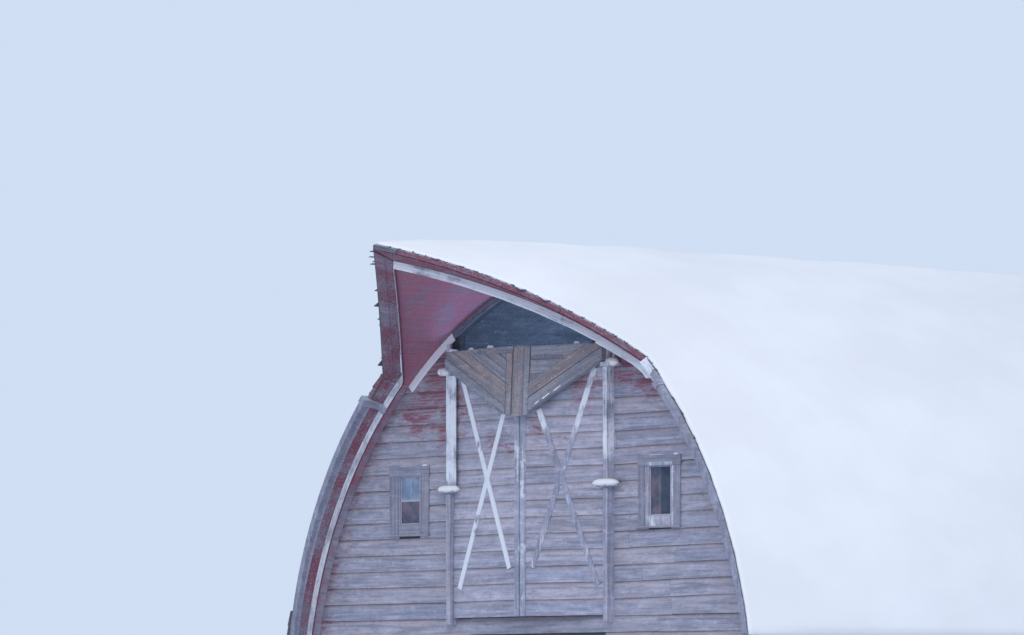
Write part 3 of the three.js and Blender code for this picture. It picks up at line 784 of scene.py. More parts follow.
# Split shingles on the left: how far down the slope, and how far out over the edge
SPLIT_PLACES = np.array([0.30, 0.48, 0.62, 0.70, 1.42, 2.1])
SPLIT_REACHES = np.array([0.10, 0.13, 0.07, 0.12, 0.08, 0.06])

# Where the boards along the forward edge start and end, from the ridge down
STRIP_STRETCHES = ((RIDGE_ANGLE, 0.325), (0.327, 0.60), (0.602, BASE_ANGLE),
                   (BASE_ANGLE + 0.002, BASE_ANGLE + 0.036), (BASE_ANGLE + 0.038, VERGE_ANGLE + 0.004))
HOOD_STRIPS = 3
FASCIA_STRETCHES = ((RIDGE_ANGLE + 0.012, 0.50), (0.502, BASE_ANGLE),
                    (BASE_ANGLE + 0.002, VERGE_ANGLE - 0.002), (VERGE_ANGLE, 1.02),
                    (1.022, EAVE_ANGLE - 0.01))
HOOD_FASCIAS = 2

# The strips as pieces: name, finish, first stretch, and the stretch that follows their last
STRIP_PIECES = {
    -1: (("edge", "roof_edge_wood", 0, 3), ("throat", "worn_red_boards", 3, 5)),
    1: (("tip", "roof_edge_wood", 0, 1), ("edge", "red_boards", 1, 3), ("foot", "white_trim", 3, 4),
        ("throat", "verge_wood", 4, 5)),
}

# The three boards of the trim across its width, and the wider pieces that cover its joint at the hood's foot
TRIM_PARTS = ((0.001, 0.036), (0.038, 0.074), (0.076, TRIM_WIDTH))
COVER_HEAD = 0.657
FOOT_HEAD = 0.728

# The face of the lower verge, and the cap at its head by depth: how far its front and back stand out
VERGE_FACE = 0.4504
CAP_DEPTHS = (-0.012, 0.092, 0.160, 0.278)
CAP_FRONT = (0.552, 0.552, 0.290, 0.262)
CAP_BACK = (0.401, 0.401, 0.236, 0.236)

# Ceiling boards: their width, the gap over them, and their section
PLANK_WIDTH = 0.135
CEILING_GAP = 0.006
CEILING_SHARE = np.array([0.0, 0.0, 0.10, 0.90, 1.0, 1.0])
CEILING_JOINT = np.array([0.0, 0.0, 0.0, 0.0, 0.0002, 0.0002])
CEILING_RISE = np.array([0.0, 0.009, 0.011, 0.011, 0.009, 0.0])


def wedge(head, butt, y0, y1, thick, curl, side):
    """A shingle as a tube of two rings, at its head and its butt, each across below and back on top."""
    ends = []
    for place, low, high in ((head, 0.0005, 0.004), (butt, 0.006 + curl, 0.006 + curl + thick)):
        angle = RIDGE_ANGLE + place / RADIUS
        ring = [on_arc(angle, -lift, y, side) for y, lift in ((y0, low), (y1, low), (y1, high), (y0, high))]
        ends.append(np.stack(ring, 1))
    return np.stack(ends, 1)


def shingle_rows(side, exposure, strip_only):
    """Shingle wedges: each lies on the next course down, thin at its head and thick at its butt.

    A course is a run of random widths along the roof; at the forward edge its first one juts out at random.
    """
    draw = rng(61 + side)
    rows = int(SLOPE / exposure)
    size = (rows, PER_COURSE)
    width = draw.uniform(0.10, 0.24, size)
    y1 = HOOD_TIP - draw.uniform(0.0, 0.2, (rows, 1)) + np.cumsum(width, 1)
    y0 = y1 - width
    butt = SLOPE + EAVE_LAP - (np.arange(rows)[::-1] * exposure)[:, None] + draw.normal(0.0, 0.006, size)
    head = np.maximum(butt - exposure - draw.uniform(0.05, 0.09, size), 0.0)
    edge = forward_edge(butt)
    loose = (draw.random(size) < LOOSE_SHARE) & (butt < HOOD_SLOPE)
    proud = draw.uniform(0.005, 0.035, size) + 0.06 * loose
    y0 = np.where((y0 < edge) & (y1 > edge + 0.03), edge - proud, y0)
    gap = draw.uniform(0.002, 0.006, size)
    keep = (y0 >= edge - 0.12) & (y0 < ROOF_BACK + 0.01) & (draw.random(size) > 0.012)
    if strip_only:
        keep &= (y0 < edge + 0.45) | (butt > SLOPE - 0.3) | (y1 > ROOF_BACK - 0.3)
    thick = draw.uniform(0.012, 0.020, size)
    curl = np.abs(draw.normal(0.0, 0.003, size))
    y1 = np.minimum(y1, ROOF_BACK + 0.015) - gap
    return wedge(*(v[keep] for v in (head, butt, y0, y1, thick, curl)), side)


def second_layer(side, exposure):
    """An older layer of shingle ends, a little lower and shorter, under the first along the forward edge."""
    draw = rng(65 + side)
    spacing = exposure * 0.8
    count = int(HOOD_SLOPE / spacing)
    butt = (np.arange(count) + draw.uniform(0.4, 1.0, count)) * spacing + 0.05
    edge = forward_edge(butt)
    return wedge(butt - 0.15, butt, edge - draw.uniform(0.0, 0.03, count), edge + 0.08, 0.007, 0.0, side)


def split_shingles(side):
    """A few split shingles that hang out over the hood's edge."""
    wide = rng(67).uniform(0.05, 0.09, len(SPLIT_PLACES))
    edge = forward_edge(SPLIT_PLACES)
    return wedge(SPLIT_PLACES - wide, SPLIT_PLACES, edge - SPLIT_REACHES, edge + 0.10, 0.009, 0.004, side)


def roof_shingles(side, exposure):
    """All shingles of a slope. The right one lies under snow, so it has them only along its edges."""
    shapes = [tubes(shingle_rows(side, exposure, side > 0), 62), tubes(second_layer(side, exposure), 66)]
    if side < 0:
        shapes.append(tubes(split_shingles(side), 68))
    build(f"{SIDES[side]}_shingles", "old_shingles", shapes)


def edge_strips(side):
    """Strips over the shell's forward edge, facing forward, down the hood and on to the lower verge's head.

    Below the hood's foot they are thicker, because they stand clear of the shell's facets.
    """
    shapes = []
    for n, (start, end) in enumerate(STRIP_STRETCHES):
        hood = n < HOOD_STRIPS
        angle = np.linspace(start, end, 12 if hood else 4)
        depths = (0.004, 0.066 if hood or side < 0 else 0.110)
        a, b = (prow_edge(angle, depth, ROOF_PROW, side) for depth in depths)
        profile = plank_profile(0.014, lift=0.002) if hood else plank_profile(0.042)
        shapes.append(long_board(a, b, AHEAD, profile, 70 + n))
    for word, finish, first, last in STRIP_PIECES[side]:
        build(f"{SIDES[side]}_{word}_strip", finish, shapes[first:last])


def fascia_edges(angle, roof_lap, trim_lap, side):
    """The long edges of the sloping face between the roof's forward edge and the trim."""
    return (prow_edge(angle, SHELL + roof_lap, ROOF_PROW, side),
            prow_edge(angle, trim_depth(angle) - trim_lap, TRIM_PROW, side))


def verge_face(side):
    """The face of a lower verge, which leans forward towards its head, and the cap that closes it there."""
    def grid(angle, depths, outs):
        """A row of points for each depth, as far in front of the gable as its own reach."""
        rows = [on_arc(angle, depth, FRONT - out, side) for depth, out in zip(depths, outs)]
        return np.stack(rows, 1)[None]

    angle = np.linspace(VERGE_ANGLE, EAVE_ANGLE - 0.004, 24)
    lean = 0.010 + 0.075 * (EAVE_ANGLE - angle) / (EAVE_ANGLE - VERGE_ANGLE)
    face = [grid(angle, (-0.002, 0.086), (out, out)) for out in (VERGE_FACE + lean, VERGE_FACE)]
    head = np.array([VERGE_ANGLE - 0.007, VERGE_ANGLE + 0.009])
    return [slabs(*face), slabs(grid(head, CAP_DEPTHS, CAP_FRONT), grid(head, CAP_DEPTHS, CAP_BACK), 0.3)]


def fascia_boards(side):
    """Two lapped boards on the sloping face between the roof's edge and the trim, from ridge to eave.

    They are red, but for the upper one down the left verge and both below the right hood's foot, which
    are bare.
    """
    red, bare = [], verge_face(side)
    for n, (start, end) in enumerate(FASCIA_STRETCHES):
        angle = np.linspace(start, end, 14)
        a, b = fascia_edges(angle, 0.004, 0.002, side)
        split = 0.48 if n < HOOD_FASCIAS else 0.16
        for k, (low, high, lift) in enumerate(((0.0, split + 0.03, 0.010), (split, 1.0, 0.003))):
            profile = plank_profile(0.012, lift=lift)
            shape = long_board(a, b, (side * 0.3, -1.0, -1.0), profile, 74 + 2 * n + k, low, high)
            weathered = n >= HOOD_FASCIAS if side > 0 else n > HOOD_FASCIAS and k == 0
            (bare if weathered else red).append(shape)
    build(f"{SIDES[side]}_fascia_boards", "red_boards" if side > 0 else "worn_red_boards", red)
    build(f"{SIDES[side]}_verge_boards", "verge_wood", bare)


def ceiling_boards(side):
    """Planks under the hood and the verges, from the gable out to the trim, side by side down the arc."""
    depth = ceiling_depth(RIDGE_ANGLE) + CEILING_GAP
    start, end = math.asin(OFFSET / (RADIUS - depth)) + 0.002, EAVE_ANGLE - 0.01
    edges = np.linspace(start, end, int((end - start) * RADIUS / PLANK_WIDTH) + 1)
    a, b = edges[:-1, None], edges[1:, None]
    angle = a + (b - a) * CEILING_SHARE - CEILING_JOINT
    uneven = np.abs(rng(80 + side).normal(0, 0.0007, a.shape))
    depth = ceiling_depth(angle) + CEILING_GAP + CEILING_RISE + uneven
    reach = prow(arc(angle, depth)[0], TRIM_PROW) - 0.028
    points = np.stack([on_arc(angle, depth, FRONT - 0.022 - (reach - 0.022) * share, side)
                       for share in (0.0, 0.34, 0.67, 1.0)], 1)
    hood = int(np.searchsorted(edges, BASE_ANGLE))
    build(f"{SIDES[side]}_ceiling_boards", "ceiling_paint", [tubes(points[:hood], 81)])
    build(f"{SIDES[side]}_soffit_boards", "soffit_paint", [tubes(points[hood:], 82)])


def foot_cover(foot):
    """A white piece that spreads from the right trim's foot over the fascia to the roof's edge."""
    angle = np.linspace(FOOT_HEAD, foot + 0.006, 12)
    a, b = fascia_edges(angle, -0.010, 0.004, 1)
    share = np.clip(1.0 - (angle - FOOT_HEAD) / 0.038, 0.0, 0.94)[:, None]
    return long_board(a, b, (0.3, -1.0, -1.0), plank_profile(0.034, lift=-0.004), 100, share)


def trim_boards(side):
    """Three boards side by side on the trim, bent to the arc and butted every few metres.

    A wider piece covers the joint at the hood's foot. On the right it runs on past the foot, is cut level
    there and spreads over the fascia, and the trim below it is bare.
    """
    right = side > 0
    foot, level = (BASE_ANGLE + 0.016, 0.022) if right else (BASE_ANGLE - 0.047, 0.0)
    stretches = ((RIDGE_ANGLE + 0.012, 0.43), (0.4315, COVER_HEAD - 0.002), (foot + level + 0.002, 0.93),
                 (0.9315, EAVE_ANGLE - 0.005))
    shapes = []
    for start, end in stretches:
        angle = np.linspace(start, end, 16)
        for part in TRIM_PARTS:
            a, b = (prow_edge(angle, trim_depth(angle) + depth, TRIM_PROW, side) for depth in part)
            profile = plank_profile(0.010 if right else 0.006, 0.08, 0.001)
            shapes.append(long_board(a, b, AHEAD, profile, 84 + len(shapes)))
    hood = shapes[:2 * len(TRIM_PARTS)]
    outer, inner = (np.linspace(COVER_HEAD, end, 9) for end in (foot + level, foot - 0.3 * level))
    flare = 0.025 + right * 0.035 * np.clip((inner - BASE_ANGLE + 0.03) / 0.04, 0.0, 1.0)
    a = prow_edge(outer, trim_depth(outer) - 0.012, TRIM_PROW, side)
    b = prow_edge(inner, trim_depth(inner) + TRIM_WIDTH + flare, TRIM_PROW, side)
    hood.append(long_board(a, b, AHEAD, plank_profile(0.018, lift=0.001), 99))
    if right:
        hood.append(foot_cover(foot + level))
    build(f"{SIDES[side]}_trim_boards", "white_trim", hood)
    build(f"{SIDES[side]}_verge_trim", "verge_wood" if right else "pale_trim",
          shapes[2 * len(TRIM_PARTS):])


def frieze_boards(side):
    """Boards on the gable under the hood's ceiling: white lower down, bare and grey near the ridge."""
    # Near the ridge the boards are bare grey wood in much darker tones: painted shade under the hood
    for word, finish, start, end, thick, spare in (
            ("painted_shade", "shaded_frieze", RIDGE_ANGLE + 0.03, 0.582, 0.006, 0.006),
            ("frieze", "frieze_paint", 0.585, BASE_ANGLE + 0.005, 0.014, 0.030)):
        angle = np.linspace(start, end, 12)
        depths = (0.022, TRIM_WIDTH + spare)
        a, b = (on_arc(angle, ceiling_depth(angle) + depth, FRONT - 0.0256, side) for depth in depths)
        build(f"{SIDES[side]}_{word}_board", finish,
              [long_board(a, b, AHEAD, plank_profile(thick), 140)])


# Snow

# Heaps on the brackets and the casings: place across, out from the gable and up, half sizes and height.
# Those on the brackets also hang down.
BRACKET_SNOW = ((1.755, 0.125, UPPER_BRACKET, 0.125, 0.065, 0.055, 0.05),
                (1.635, 0.135, LOWER_BRACKET - 0.005, 0.24, 0.085, 0.055, 0.045))
CASING_SNOW = ((0.33, 0.022, 0.149, 0.055, 0.020, 0.018), (-0.05, 0.018, 0.148, 0.20, 0.018, 0.008))

# Heaps along the flap: place across, half width and height
FLAP_HEAD_SNOW = ((-1.56, 0.05, 0.05), (-1.07, 0.06, 0.035), (-0.61, 0.07, 0.055), (1.13, 0.06, 0.035))
FLAP_EDGE_SNOW = ((0.46, 0.07, 0.007), (0.60, 0.12, 0.011), (0.80, 0.11, 0.006))


def soft_edge(distance, width):
    """Height of a rolled edge: a quarter of an ellipse that rises from 0 to 1 over a width."""
    share = np.clip(distance / width, 0.0, 1.0)
    return np.sqrt(np.clip(1.0 - (1.0 - share) ** 2, 0.0, 1.0))


def waves(u, v, seed, count, low, high):
    """Sum of random plane waves between two lengths, about -1 to 1, as the drifts in a snow cover."""
    draw = rng(seed)
    total = np.zeros(np.broadcast(u, v).shape)
    for _ in range(count):
        turn, length, phase = draw.uniform(0, 2 * np.pi), draw.uniform(low, high), draw.uniform(0, 2 * np.pi)
        total += np.sin((u * np.cos(turn) + v * np.sin(turn)) * 2 * np.pi / length + phase)
    return total / count * 1.8


def over_ridge(s, lift, y):
    """A point by its signed distance from the ridge along the arcs: lifted straight up on the ridge itself,
    and square to the arc further down."""
    angle = RIDGE_ANGLE + np.abs(s) / RADIUS
    x, z = arc(angle, 0.0, np.sign(s))
    turn = angle * s / np.sqrt(s ** 2 + 0.2 ** 2)
    return np.stack(np.broadcast_arrays(x + lift * np.sin(turn), y, z + lift * np.cos(turn)), -1)


def roof_snow(depth):
    """Snow over the right slope and the ridge: thin along its edges, and thicker away from the forward edge.

    Thickness is a full depth that grows from the hood's tip backwards, times rolled edges, times drifts.
    """
    left = -np.linspace(1.0, 0.0, 16, endpoint=False)
    right = np.linspace(0.0, 1.0, 92)
    side, t = np.meshgrid(np.concatenate([left, right]), np.linspace(0.0, 1.0, 190) ** 1.5, indexing="ij")
    full = SLOPE + 0.02
    rough_y = HOOD_TIP + (ROOF_BACK - HOOD_TIP) * t
    reach = 0.75 + 0.28 * waves(rough_y, 0.0, 4, 12, 0.5, 5.0)
    s = np.where(side < 0, side * reach, side * full)
    setback = np.interp(s, (0.0, 3.2, 3.9, full), (0.025, 0.015, -0.035, -0.035))
    start = forward_edge(np.abs(s)) + setback + 0.018 * waves(s, 0.0, 5, 24, 0.10, 0.7)
    end = ROOF_BACK + 0.01
    y = start + (end - start) * t
    edge = np.minimum(y - start, end - y)
    grown = 0.04 + (depth - 0.04) * (1.0 - np.exp(-(rough_y - HOOD_TIP) / 1.7))
    heaped = grown * np.interp(s, (-1.0, 0.0, 2.0, full), (0.25, 1.0, 0.8, 0.55))
    body = 0.03 + (heaped - 0.03) * np.clip(edge / 0.9, 0.0, 1.0) ** 0.8
    body = np.maximum(body, 0.02) * soft_edge(edge, 0.05)
    body *= np.where(side < 0, soft_edge((side + 1.0) * reach, 0.6), soft_edge(full - s, 0.12))
    thick = 0.003 + body * (1.0 + 0.14 * waves(y, s, 6, 16, 0.9, 5.0) + 0.05 * waves(y, s, 8, 18, 0.15, 0.6))
    top, bottom = over_ridge(s, 0.014 + thick, y), over_ridge(s, 0.004, y)
    build("roof_snow", "snow", [slabs(top[None], bottom[None])], True)


def snow_caps(items, seed):
    """Small heaps of snow: a square grid drawn into a rounded outline, high in the middle, thin at the rim.

    Each item is its centre, its half sizes along X and Y, its height, how far it hangs below its centre, and
    how much it climbs along X.
    """
    u, v = np.meshgrid(np.linspace(-1, 1, 9), np.linspace(-1, 1, 9), indexing="ij")
    round_u, round_v = u * np.sqrt(1 - 0.42 * v ** 2), v * np.sqrt(1 - 0.42 * u ** 2)
    hump = np.clip((1 - u ** 2) * (1 - v ** 2), 0, None) ** 0.42
    draw = rng(seed)
    tops, bottoms = [], []
    for x, y, z, wide, deep, high, low, climb in items:
        drift = waves(u * wide * 9 + draw.uniform(0, 9), v * deep * 9, seed, 8, 0.4, 2.0)
        heap = hump * (1.0 + 0.22 * drift)
        px, py = x + wide * round_u * (1 + 0.06 * draw.normal()), y + deep * round_v
        level = z + climb * (px - x)
        tops.append(np.stack([px, py, level + 0.001 + high * heap], -1))
        bottoms.append(np.stack([px, py, level - 0.004 - low * heap], -1))
    return slabs(np.array(tops), np.array(bottoms))


def small_snow():
    """Snow on the tracks' brackets, the window casings, the flap's head and its lower edges."""
    items = []
    for side in SIDES:
        for x, out, top, wide, deep, high, low in BRACKET_SNOW:
            items.append((side * x, FRONT - out, top, wide, deep, high, low, 0.0))
        for x, out, over, wide, deep, high in CASING_SNOW:
            items.append((side * WINDOW_X + x, FRONT - out, SASH_HIGH[2] + over, wide, deep, high, 0.0, 0.0))
    for x, wide, high in FLAP_HEAD_SNOW:
        items.append((x, flap_y(x, HINGE) - 0.02, HINGE, wide, 0.018, high, 0.0, 0.0))
    for x, wide, high in FLAP_EDGE_SNOW:
        z = flap_edge(x)
        items.append((x, flap_y(x, z) - 0.064, z + 0.035, wide, 0.008, high, 0.008, FLAP_SLOPE))
    build("small_snow", "snow", [snow_caps(items, 92)], True)


# Hay doors

# Slanting planks on each side of the flap: how far each rises over the last, its inner end, and their tones
FLAP_SLANTS = {-1: (0.165, 0.165, (0.10, 0.55, 0.75, 0.20, 0.35, 0.10)), 1: (0.205, 0.31, (0.20, 0.75))}
LEVEL_TONES = (0.1, 0.2, 0.0, 0.3)

# Uprights in the middle of the flap and the ledger at its head: left, right, foot, head, tone and lift
FLAP_UPRIGHTS = (
    (-0.158, -0.03, FLAP_FOOT + 0.32, HINGE - 0.09, 1.0, 0.006),
    (-0.158, -0.03, FLAP_FOOT - 0.01, FLAP_FOOT + 0.315, 0.4, 0.003),
    (0.010, 0.200, FLAP_FOOT - 0.045, HINGE - 0.002, 0.6, 0.014),
    (0.204, 0.300, FLAP_FOOT - 0.035, HINGE - 0.01, 0.15, 0.010),
    (-0.85, 0.0, HINGE - 0.085, HINGE + 0.004, 0.25, 0.022),
)

# The battens down a track by foot and head, and how far the left upper one covers the gap to its leaf
TRACK_BATTENS = ((DOOR_FOOT - 0.09, 4.545), (4.625, 6.245))
LEFT_COVER = 0.12


def flap_y(x, z):
    """Y of the flap's back: it bends forward to its middle and leans forward towards its foot."""
    bend = LEAF_FORWARD * (1.0 - np.abs(x) / FLAP_HALF)
    return FRONT - FLAP_BACK - bend - FLAP_LEAN * (HINGE - z) / (HINGE - FLAP_FOOT)


def flap_edge(x, up=0.0):
    """Height of the flap's slanting lower edge, or of a line over it."""
    return FLAP_FOOT + (x - FLAP_TIP_HALF) * FLAP_SLOPE + up


def flap_reach(z, up, most):
    """Where a line over the flap's lower edge reaches a height, or the most that it may reach."""
    return min(most, FLAP_TIP_HALF + (z - FLAP_FOOT - up) / FLAP_SLOPE)


def flap_board(corners, lift):
    """A plank on the flap between two long edges, each given by its ends' x and z, along the flap's bend."""
    t = np.linspace(0.0, 1.0, 9)[:, None]
    edges = []
    for start, end in np.array(corners, float).reshape(2, 2, 2):
        x, z = (start + (end - start) * t).T
        edges.append(np.stack([x, flap_y(x, z) - 0.04 - lift, z], -1))
    return strip(*edges, AHEAD, plank_profile(0.017, 0.03))


def flap_boards():
    """The flap's planks: slanting ones along its lower edges, level ones over them on the right, uprights in
    the middle and a ledger at the head; each has a tone from grey, 0, to brown, 1."""
    boards, tones = [], []
    draw = rng(95)
    for side, (rise, inner, row) in FLAP_SLANTS.items():
        for k, tone in enumerate(row):
            low, high = k * rise, (k + 0.95) * rise
            x0, x1 = (flap_reach(HINGE, up, FLAP_HALF) for up in (low, high))
            if x1 < inner + 0.05:
                break
            skew, lift = 0.0, 0.012
            if side < 0:
                skew, lift = draw.normal(0.0, 0.006), 0.003 + 0.005 * draw.random()
            inner_foot = max(flap_edge(inner, low), FLAP_FOOT)
            boards.append(flap_board(((side * x0, flap_edge(x0, low)), (side * inner, inner_foot),
                                      (side * x1, flap_edge(x1, high)),
                                      (side * inner, flap_edge(inner, high) + skew)), lift))
            tones.append(tone)
    over_slants = 2 * FLAP_SLANTS[1][0] - 0.02
    for k, tone in enumerate(LEVEL_TONES):
        z1 = HINGE - 0.004 - 0.2 * k
        z0 = z1 - 0.192
        run0, run1 = (flap_reach(z, over_slants, FLAP_HALF - 0.02) for z in (z0, z1))
        if run0 > 0.36:
            boards.append(flap_board(((0.325, z0), (run0, z0), (0.325, z1), (run1, z1)), 0.002))
            tones.append(tone)
    for x0, x1, z0, z1, tone, lift in FLAP_UPRIGHTS:
        turned = ((x0, z1), (x1, z0)) if x1 - x0 < z1 - z0 else ((x1, z0), (x0, z1))
        boards.append(flap_board(((x0, z0), *turned, (x1, z1)), lift))
        tones.append(tone)
    build("flap_boards", "bare_planks", [tubes(boards, 96, board=tones)])


def track_boards():
    """Battens down the front of each track, and the arms of their brackets, which reach out along the wall.

    On the left the upper batten is wide enough to cover the gap to the leaf.
    """
    for side, word in SIDES.items():
        bars = []
        for n, (foot, head) in enumerate(TRACK_BATTENS):
            cover = LEFT_COVER if side < 0 and n else 0.0
            bars.append(((side * (LEAF_HALF + 0.004 - cover), FRONT - 0.153, foot),
                         (side * (LEAF_HALF + 0.092), FRONT - 0.1355, head)))
        for top in (UPPER_BRACKET, LOWER_BRACKET):
            bars.append(((side * (TRACK_OUTER - 0.06), FRONT - 0.12, top - 0.055),
                         (side * 1.84, FRONT - 0.021, top - 0.010)))
        bars.append(((side * 1.70, FRONT - 0.075, UPPER_BRACKET + 0.025),
                     (side * 1.755, FRONT - 0.027, UPPER_BRACKET + 0.395)))
        shape = tubes(box_bars(bars, 0.004), 98 + side)
        build(f"{word}_track_batten", f"{word}_track_wood", [shape])


# Windows and ground doors

# Which way across, up and out of a wall are, by the way that the wall faces
FACINGS = {
    "front": ((1, 0, 0), (0, 0, 1), (0, -1, 0)), "back": ((-1, 0, 0), (0, 0, 1), (0, 1, 0)),
    "right": ((0, 1, 0), (0, 0, 1), (1, 0, 0)), "left": ((0, -1, 0), (0, 0, 1), (-1, 0, 0)),
}
GLASS = {"glass": "dark_glass", "sky_reflection_glass": "sky_reflection_glass", "red_glass": "reddish_glass"}

# Out from the wall: the base boards of a casing, its own boards and the stops
BASE_OUT = (0.001, 0.025)
CASING_OUT = (0.0255, 0.036)
STOP_OUT = (0.0255, 0.031)

# Widths of a casing at the sides, over the head and under the foot
GABLE_CASING = (0.20, 0.15, 0.17)
SIDE_CASING = (0.13, 0.12, 0.12)
STILE = 0.045
PANE_SETBACK = 0.022


def placed(points, centre, facing):
    """Turns local places, across, up and outwards, to the wall that a window sits in."""
    return points @ np.array(FACINGS[facing], float) + np.array(centre)


def both_sides(low, high):
    """A bar and its mirror image across the middle, as corners."""
    return [(low, high), ((-low[0], *low[1:]), (-high[0], *high[1:]))]


def sash_bars(width, height, rail, s):
    """A sash in its opening: stiles, head and foot, and with a rail an upright bar in the upper light."""
    a, b = width / 2 - 0.001, height / 2 - 0.001
    bars = both_sides((-a, -b, -0.040), (-a + s, b, -0.002))
    bars += [((-a + s, b - s, -0.040), (a - s, b, -0.004)),
             ((-a + s, -b, -0.040), (a - s, -b + 1.33 * s, -0.004))]
    if rail:
        bars += [((-a + s, -0.016, -0.038), (a - s, 0.016, -0.002)),
                 ((-0.0125, 0.016, -0.034), (0.0125, b - s, -0.008))]
    return box_bars(bars, 0.004)


def casing_bars(width, height, boards, inner=0.0):
    """Boards round an opening: uprights, a head that laps over them, and a sill that stands out."""
    side, head, foot = boards
    a, b = width / 2, height / 2
    w0, w1 = CASING_OUT
    bars = both_sides((-a - side, -b - foot + 0.03, w0), (-a - inner, b - 0.002, w1))
    bars += [((-a - side - 0.01, b + 0.002, w0), (a + side + 0.01, b + head, w1 + 0.004)),
             ((-a - side - 0.015, -b - foot, w0 - 0.005), (a + side + 0.015, -b - foot + 0.028, w1 + 0.03))]
    return box_bars(bars, 0.003)


def base_bars(width, height, boards, lap):
    """The thick base boards under a casing, in place of the solid's."""
    side, head, foot = boards
    a, b = width / 2, height / 2
    w0, w1 = BASE_OUT
    bars = both_sides((-a - side, -b - foot, w0), (-a + lap, b + head, w1))
    bars.append(((-a + lap, b - lap, w0), (a - lap, b + head, w1)))
    if foot:
        bars.append(((-a + lap, -b - foot, w0), (a - lap, -b + lap, w1)))
    return box_bars(bars, 0.003)


def stop_bars(width, height, inner, foot):
    """Thin stops inside a casing: uprights, a head that stands proud of it, and a foot under the sash."""
    a, b = width / 2, height / 2
    w0, w1 = STOP_OUT
    low = -b - foot + 0.030
    bars = both_sides((-a - inner + 0.002, low, w0), (-a - 0.004, b, w1))
    bars += [((-a - inner + 0.002, b, 0.0375), (a + inner - 0.002, b + 0.05, 0.046)),
             ((-a - 0.002, low, w0), (a + 0.002, -b, w1 - 0.002))]
    return box_bars(bars, 0.004)


def panes(width, height, rail, s, setback, centre, facing):
    """Panes of 7 by 7 points that bulge and lean by a fraction of a millimetre, each as a slab's two
    faces. With a rail, one is below it and two are above, otherwise they stand side by side."""
    a, b, c = width / 2 - s + 0.002, height / 2 - s + 0.002, 0.010
    spans = [(-a, 0.0, -b, b), (0.0, a, -b, b)]
    if rail:
        spans = [(-a, a, -b, -c), (-a, 0.0, c, b), (0.0, a, c, b)]
    t = np.linspace(0, 1, 7)
    made = []
    for n, (u0, u1, v0, v1) in enumerate(spans):
        u, v = np.meshgrid(u0 + (u1 - u0) * t, v0 + (v1 - v0) * t, indexing="ij")
        w = -setback + 0.0006 * np.sin(9 * u + 4 * n) + 0.0006 * np.cos(7 * v + n)
        faces = [np.stack(np.broadcast_arrays(u, v, out), -1)[None] for out in (w, -setback - 0.004)]
        made.append([placed(face, centre, facing) for face in faces])
    return made


def gable_window(side, facing):
    """One gable window: sash, panes, casing boards and the stops inside them, and at the back their base."""
    front = facing == "front"
    name = f"{SIDES[side]}_{facing}"
    centre = (side * WINDOW_X, FRONT if front else BACK, WINDOW_Z)
    rail = not (front and side > 0)
    stile, setback = (0.016, 0.008) if front else (STILE, PANE_SETBACK)

    def fitted(bars, seed):
        """Bars turned to this window, as one shape."""
        return [tubes(placed(bars, centre, facing), seed)]

    bars = sash_bars(WINDOW_WIDE, WINDOW_TALL, rail, stile)
    sash = build(f"{name}_sash", "sash_wood", fitted(bars, 101))
    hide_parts(f"{name}_sash" if front else f"{name}_window")
    glass = panes(WINDOW_WIDE, WINDOW_TALL, rail, stile, setback, centre, facing)
    # The upper front panes carry a painted reflection of the sky
    upper = "sky_reflection_glass" if front else "glass"
    groups = {"red_glass": glass[:1], "glass": glass[1:]}
    if rail:
        groups = {upper: glass[1:], "red_glass": glass[:1]}
    for word, chosen in groups.items():
        build(f"{name}_{word}", GLASS[word], [slabs(*pane) for pane in chosen])
    casing = casing_bars(WINDOW_WIDE, WINDOW_TALL, GABLE_CASING, 0.075)
    build(f"{name}_casing", "casing_boards", fitted(casing, 103))
    stops = stop_bars(WINDOW_WIDE, WINDOW_TALL, 0.054, GABLE_CASING[2])
    build(f"{name}_stop", "casing_boards" if rail else "stile_wood", fitted(stops, 105))
    if not front:
        base = base_bars(WINDOW_WIDE, WINDOW_TALL, GABLE_CASING, 0.01)
        build(f"{name}_base", "siding_boards", fitted(base, 107))


def side_window_row(side):
    """Six windows in a side wall with their casings, and the long sill board under them."""
    facing = SIDES[side]
    foot = SIDE_HEAD - SIDE_TALL
    base_boards = (*SIDE_CASING[:2], 0.0)
    sashes, casings, glass = [], [], []
    for y in BAY_CENTRES:
        centre = (side * HALF, y, foot + SIDE_TALL / 2)
        sashes.append(placed(sash_bars(SIDE_WIDE, SIDE_TALL, True, STILE), centre, facing))
        casings.append(placed(casing_bars(SIDE_WIDE, SIDE_TALL, SIDE_CASING), centre, facing))
        casings.append(placed(base_bars(SIDE_WIDE, SIDE_TALL, base_boards, 0.008), centre, facing))
        glass += panes(SIDE_WIDE, SIDE_TALL, True, STILE, PANE_SETBACK, centre, facing)
    front, back = side * (FRONT + 0.05), side * (BACK - 0.05)
    sill = box_bars([((front, foot - 0.13, 0.001), (back, foot + 0.008, 0.026))], 0.004)
    casings.append(placed(sill, (side * HALF, 0.0, 0.0), facing))
    sash = build(f"{facing}_side_sashes", "sash_wood", [tubes(np.concatenate(sashes), 110)])
    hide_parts(f"{facing}_side_windows")
    build(f"{facing}_side_glass", "dark_glass", [slabs(*pane) for pane in glass])
    build(f"{facing}_side_casings", "grey_trim", [tubes(c, 111 + n) for n, c in enumerate(casings)])


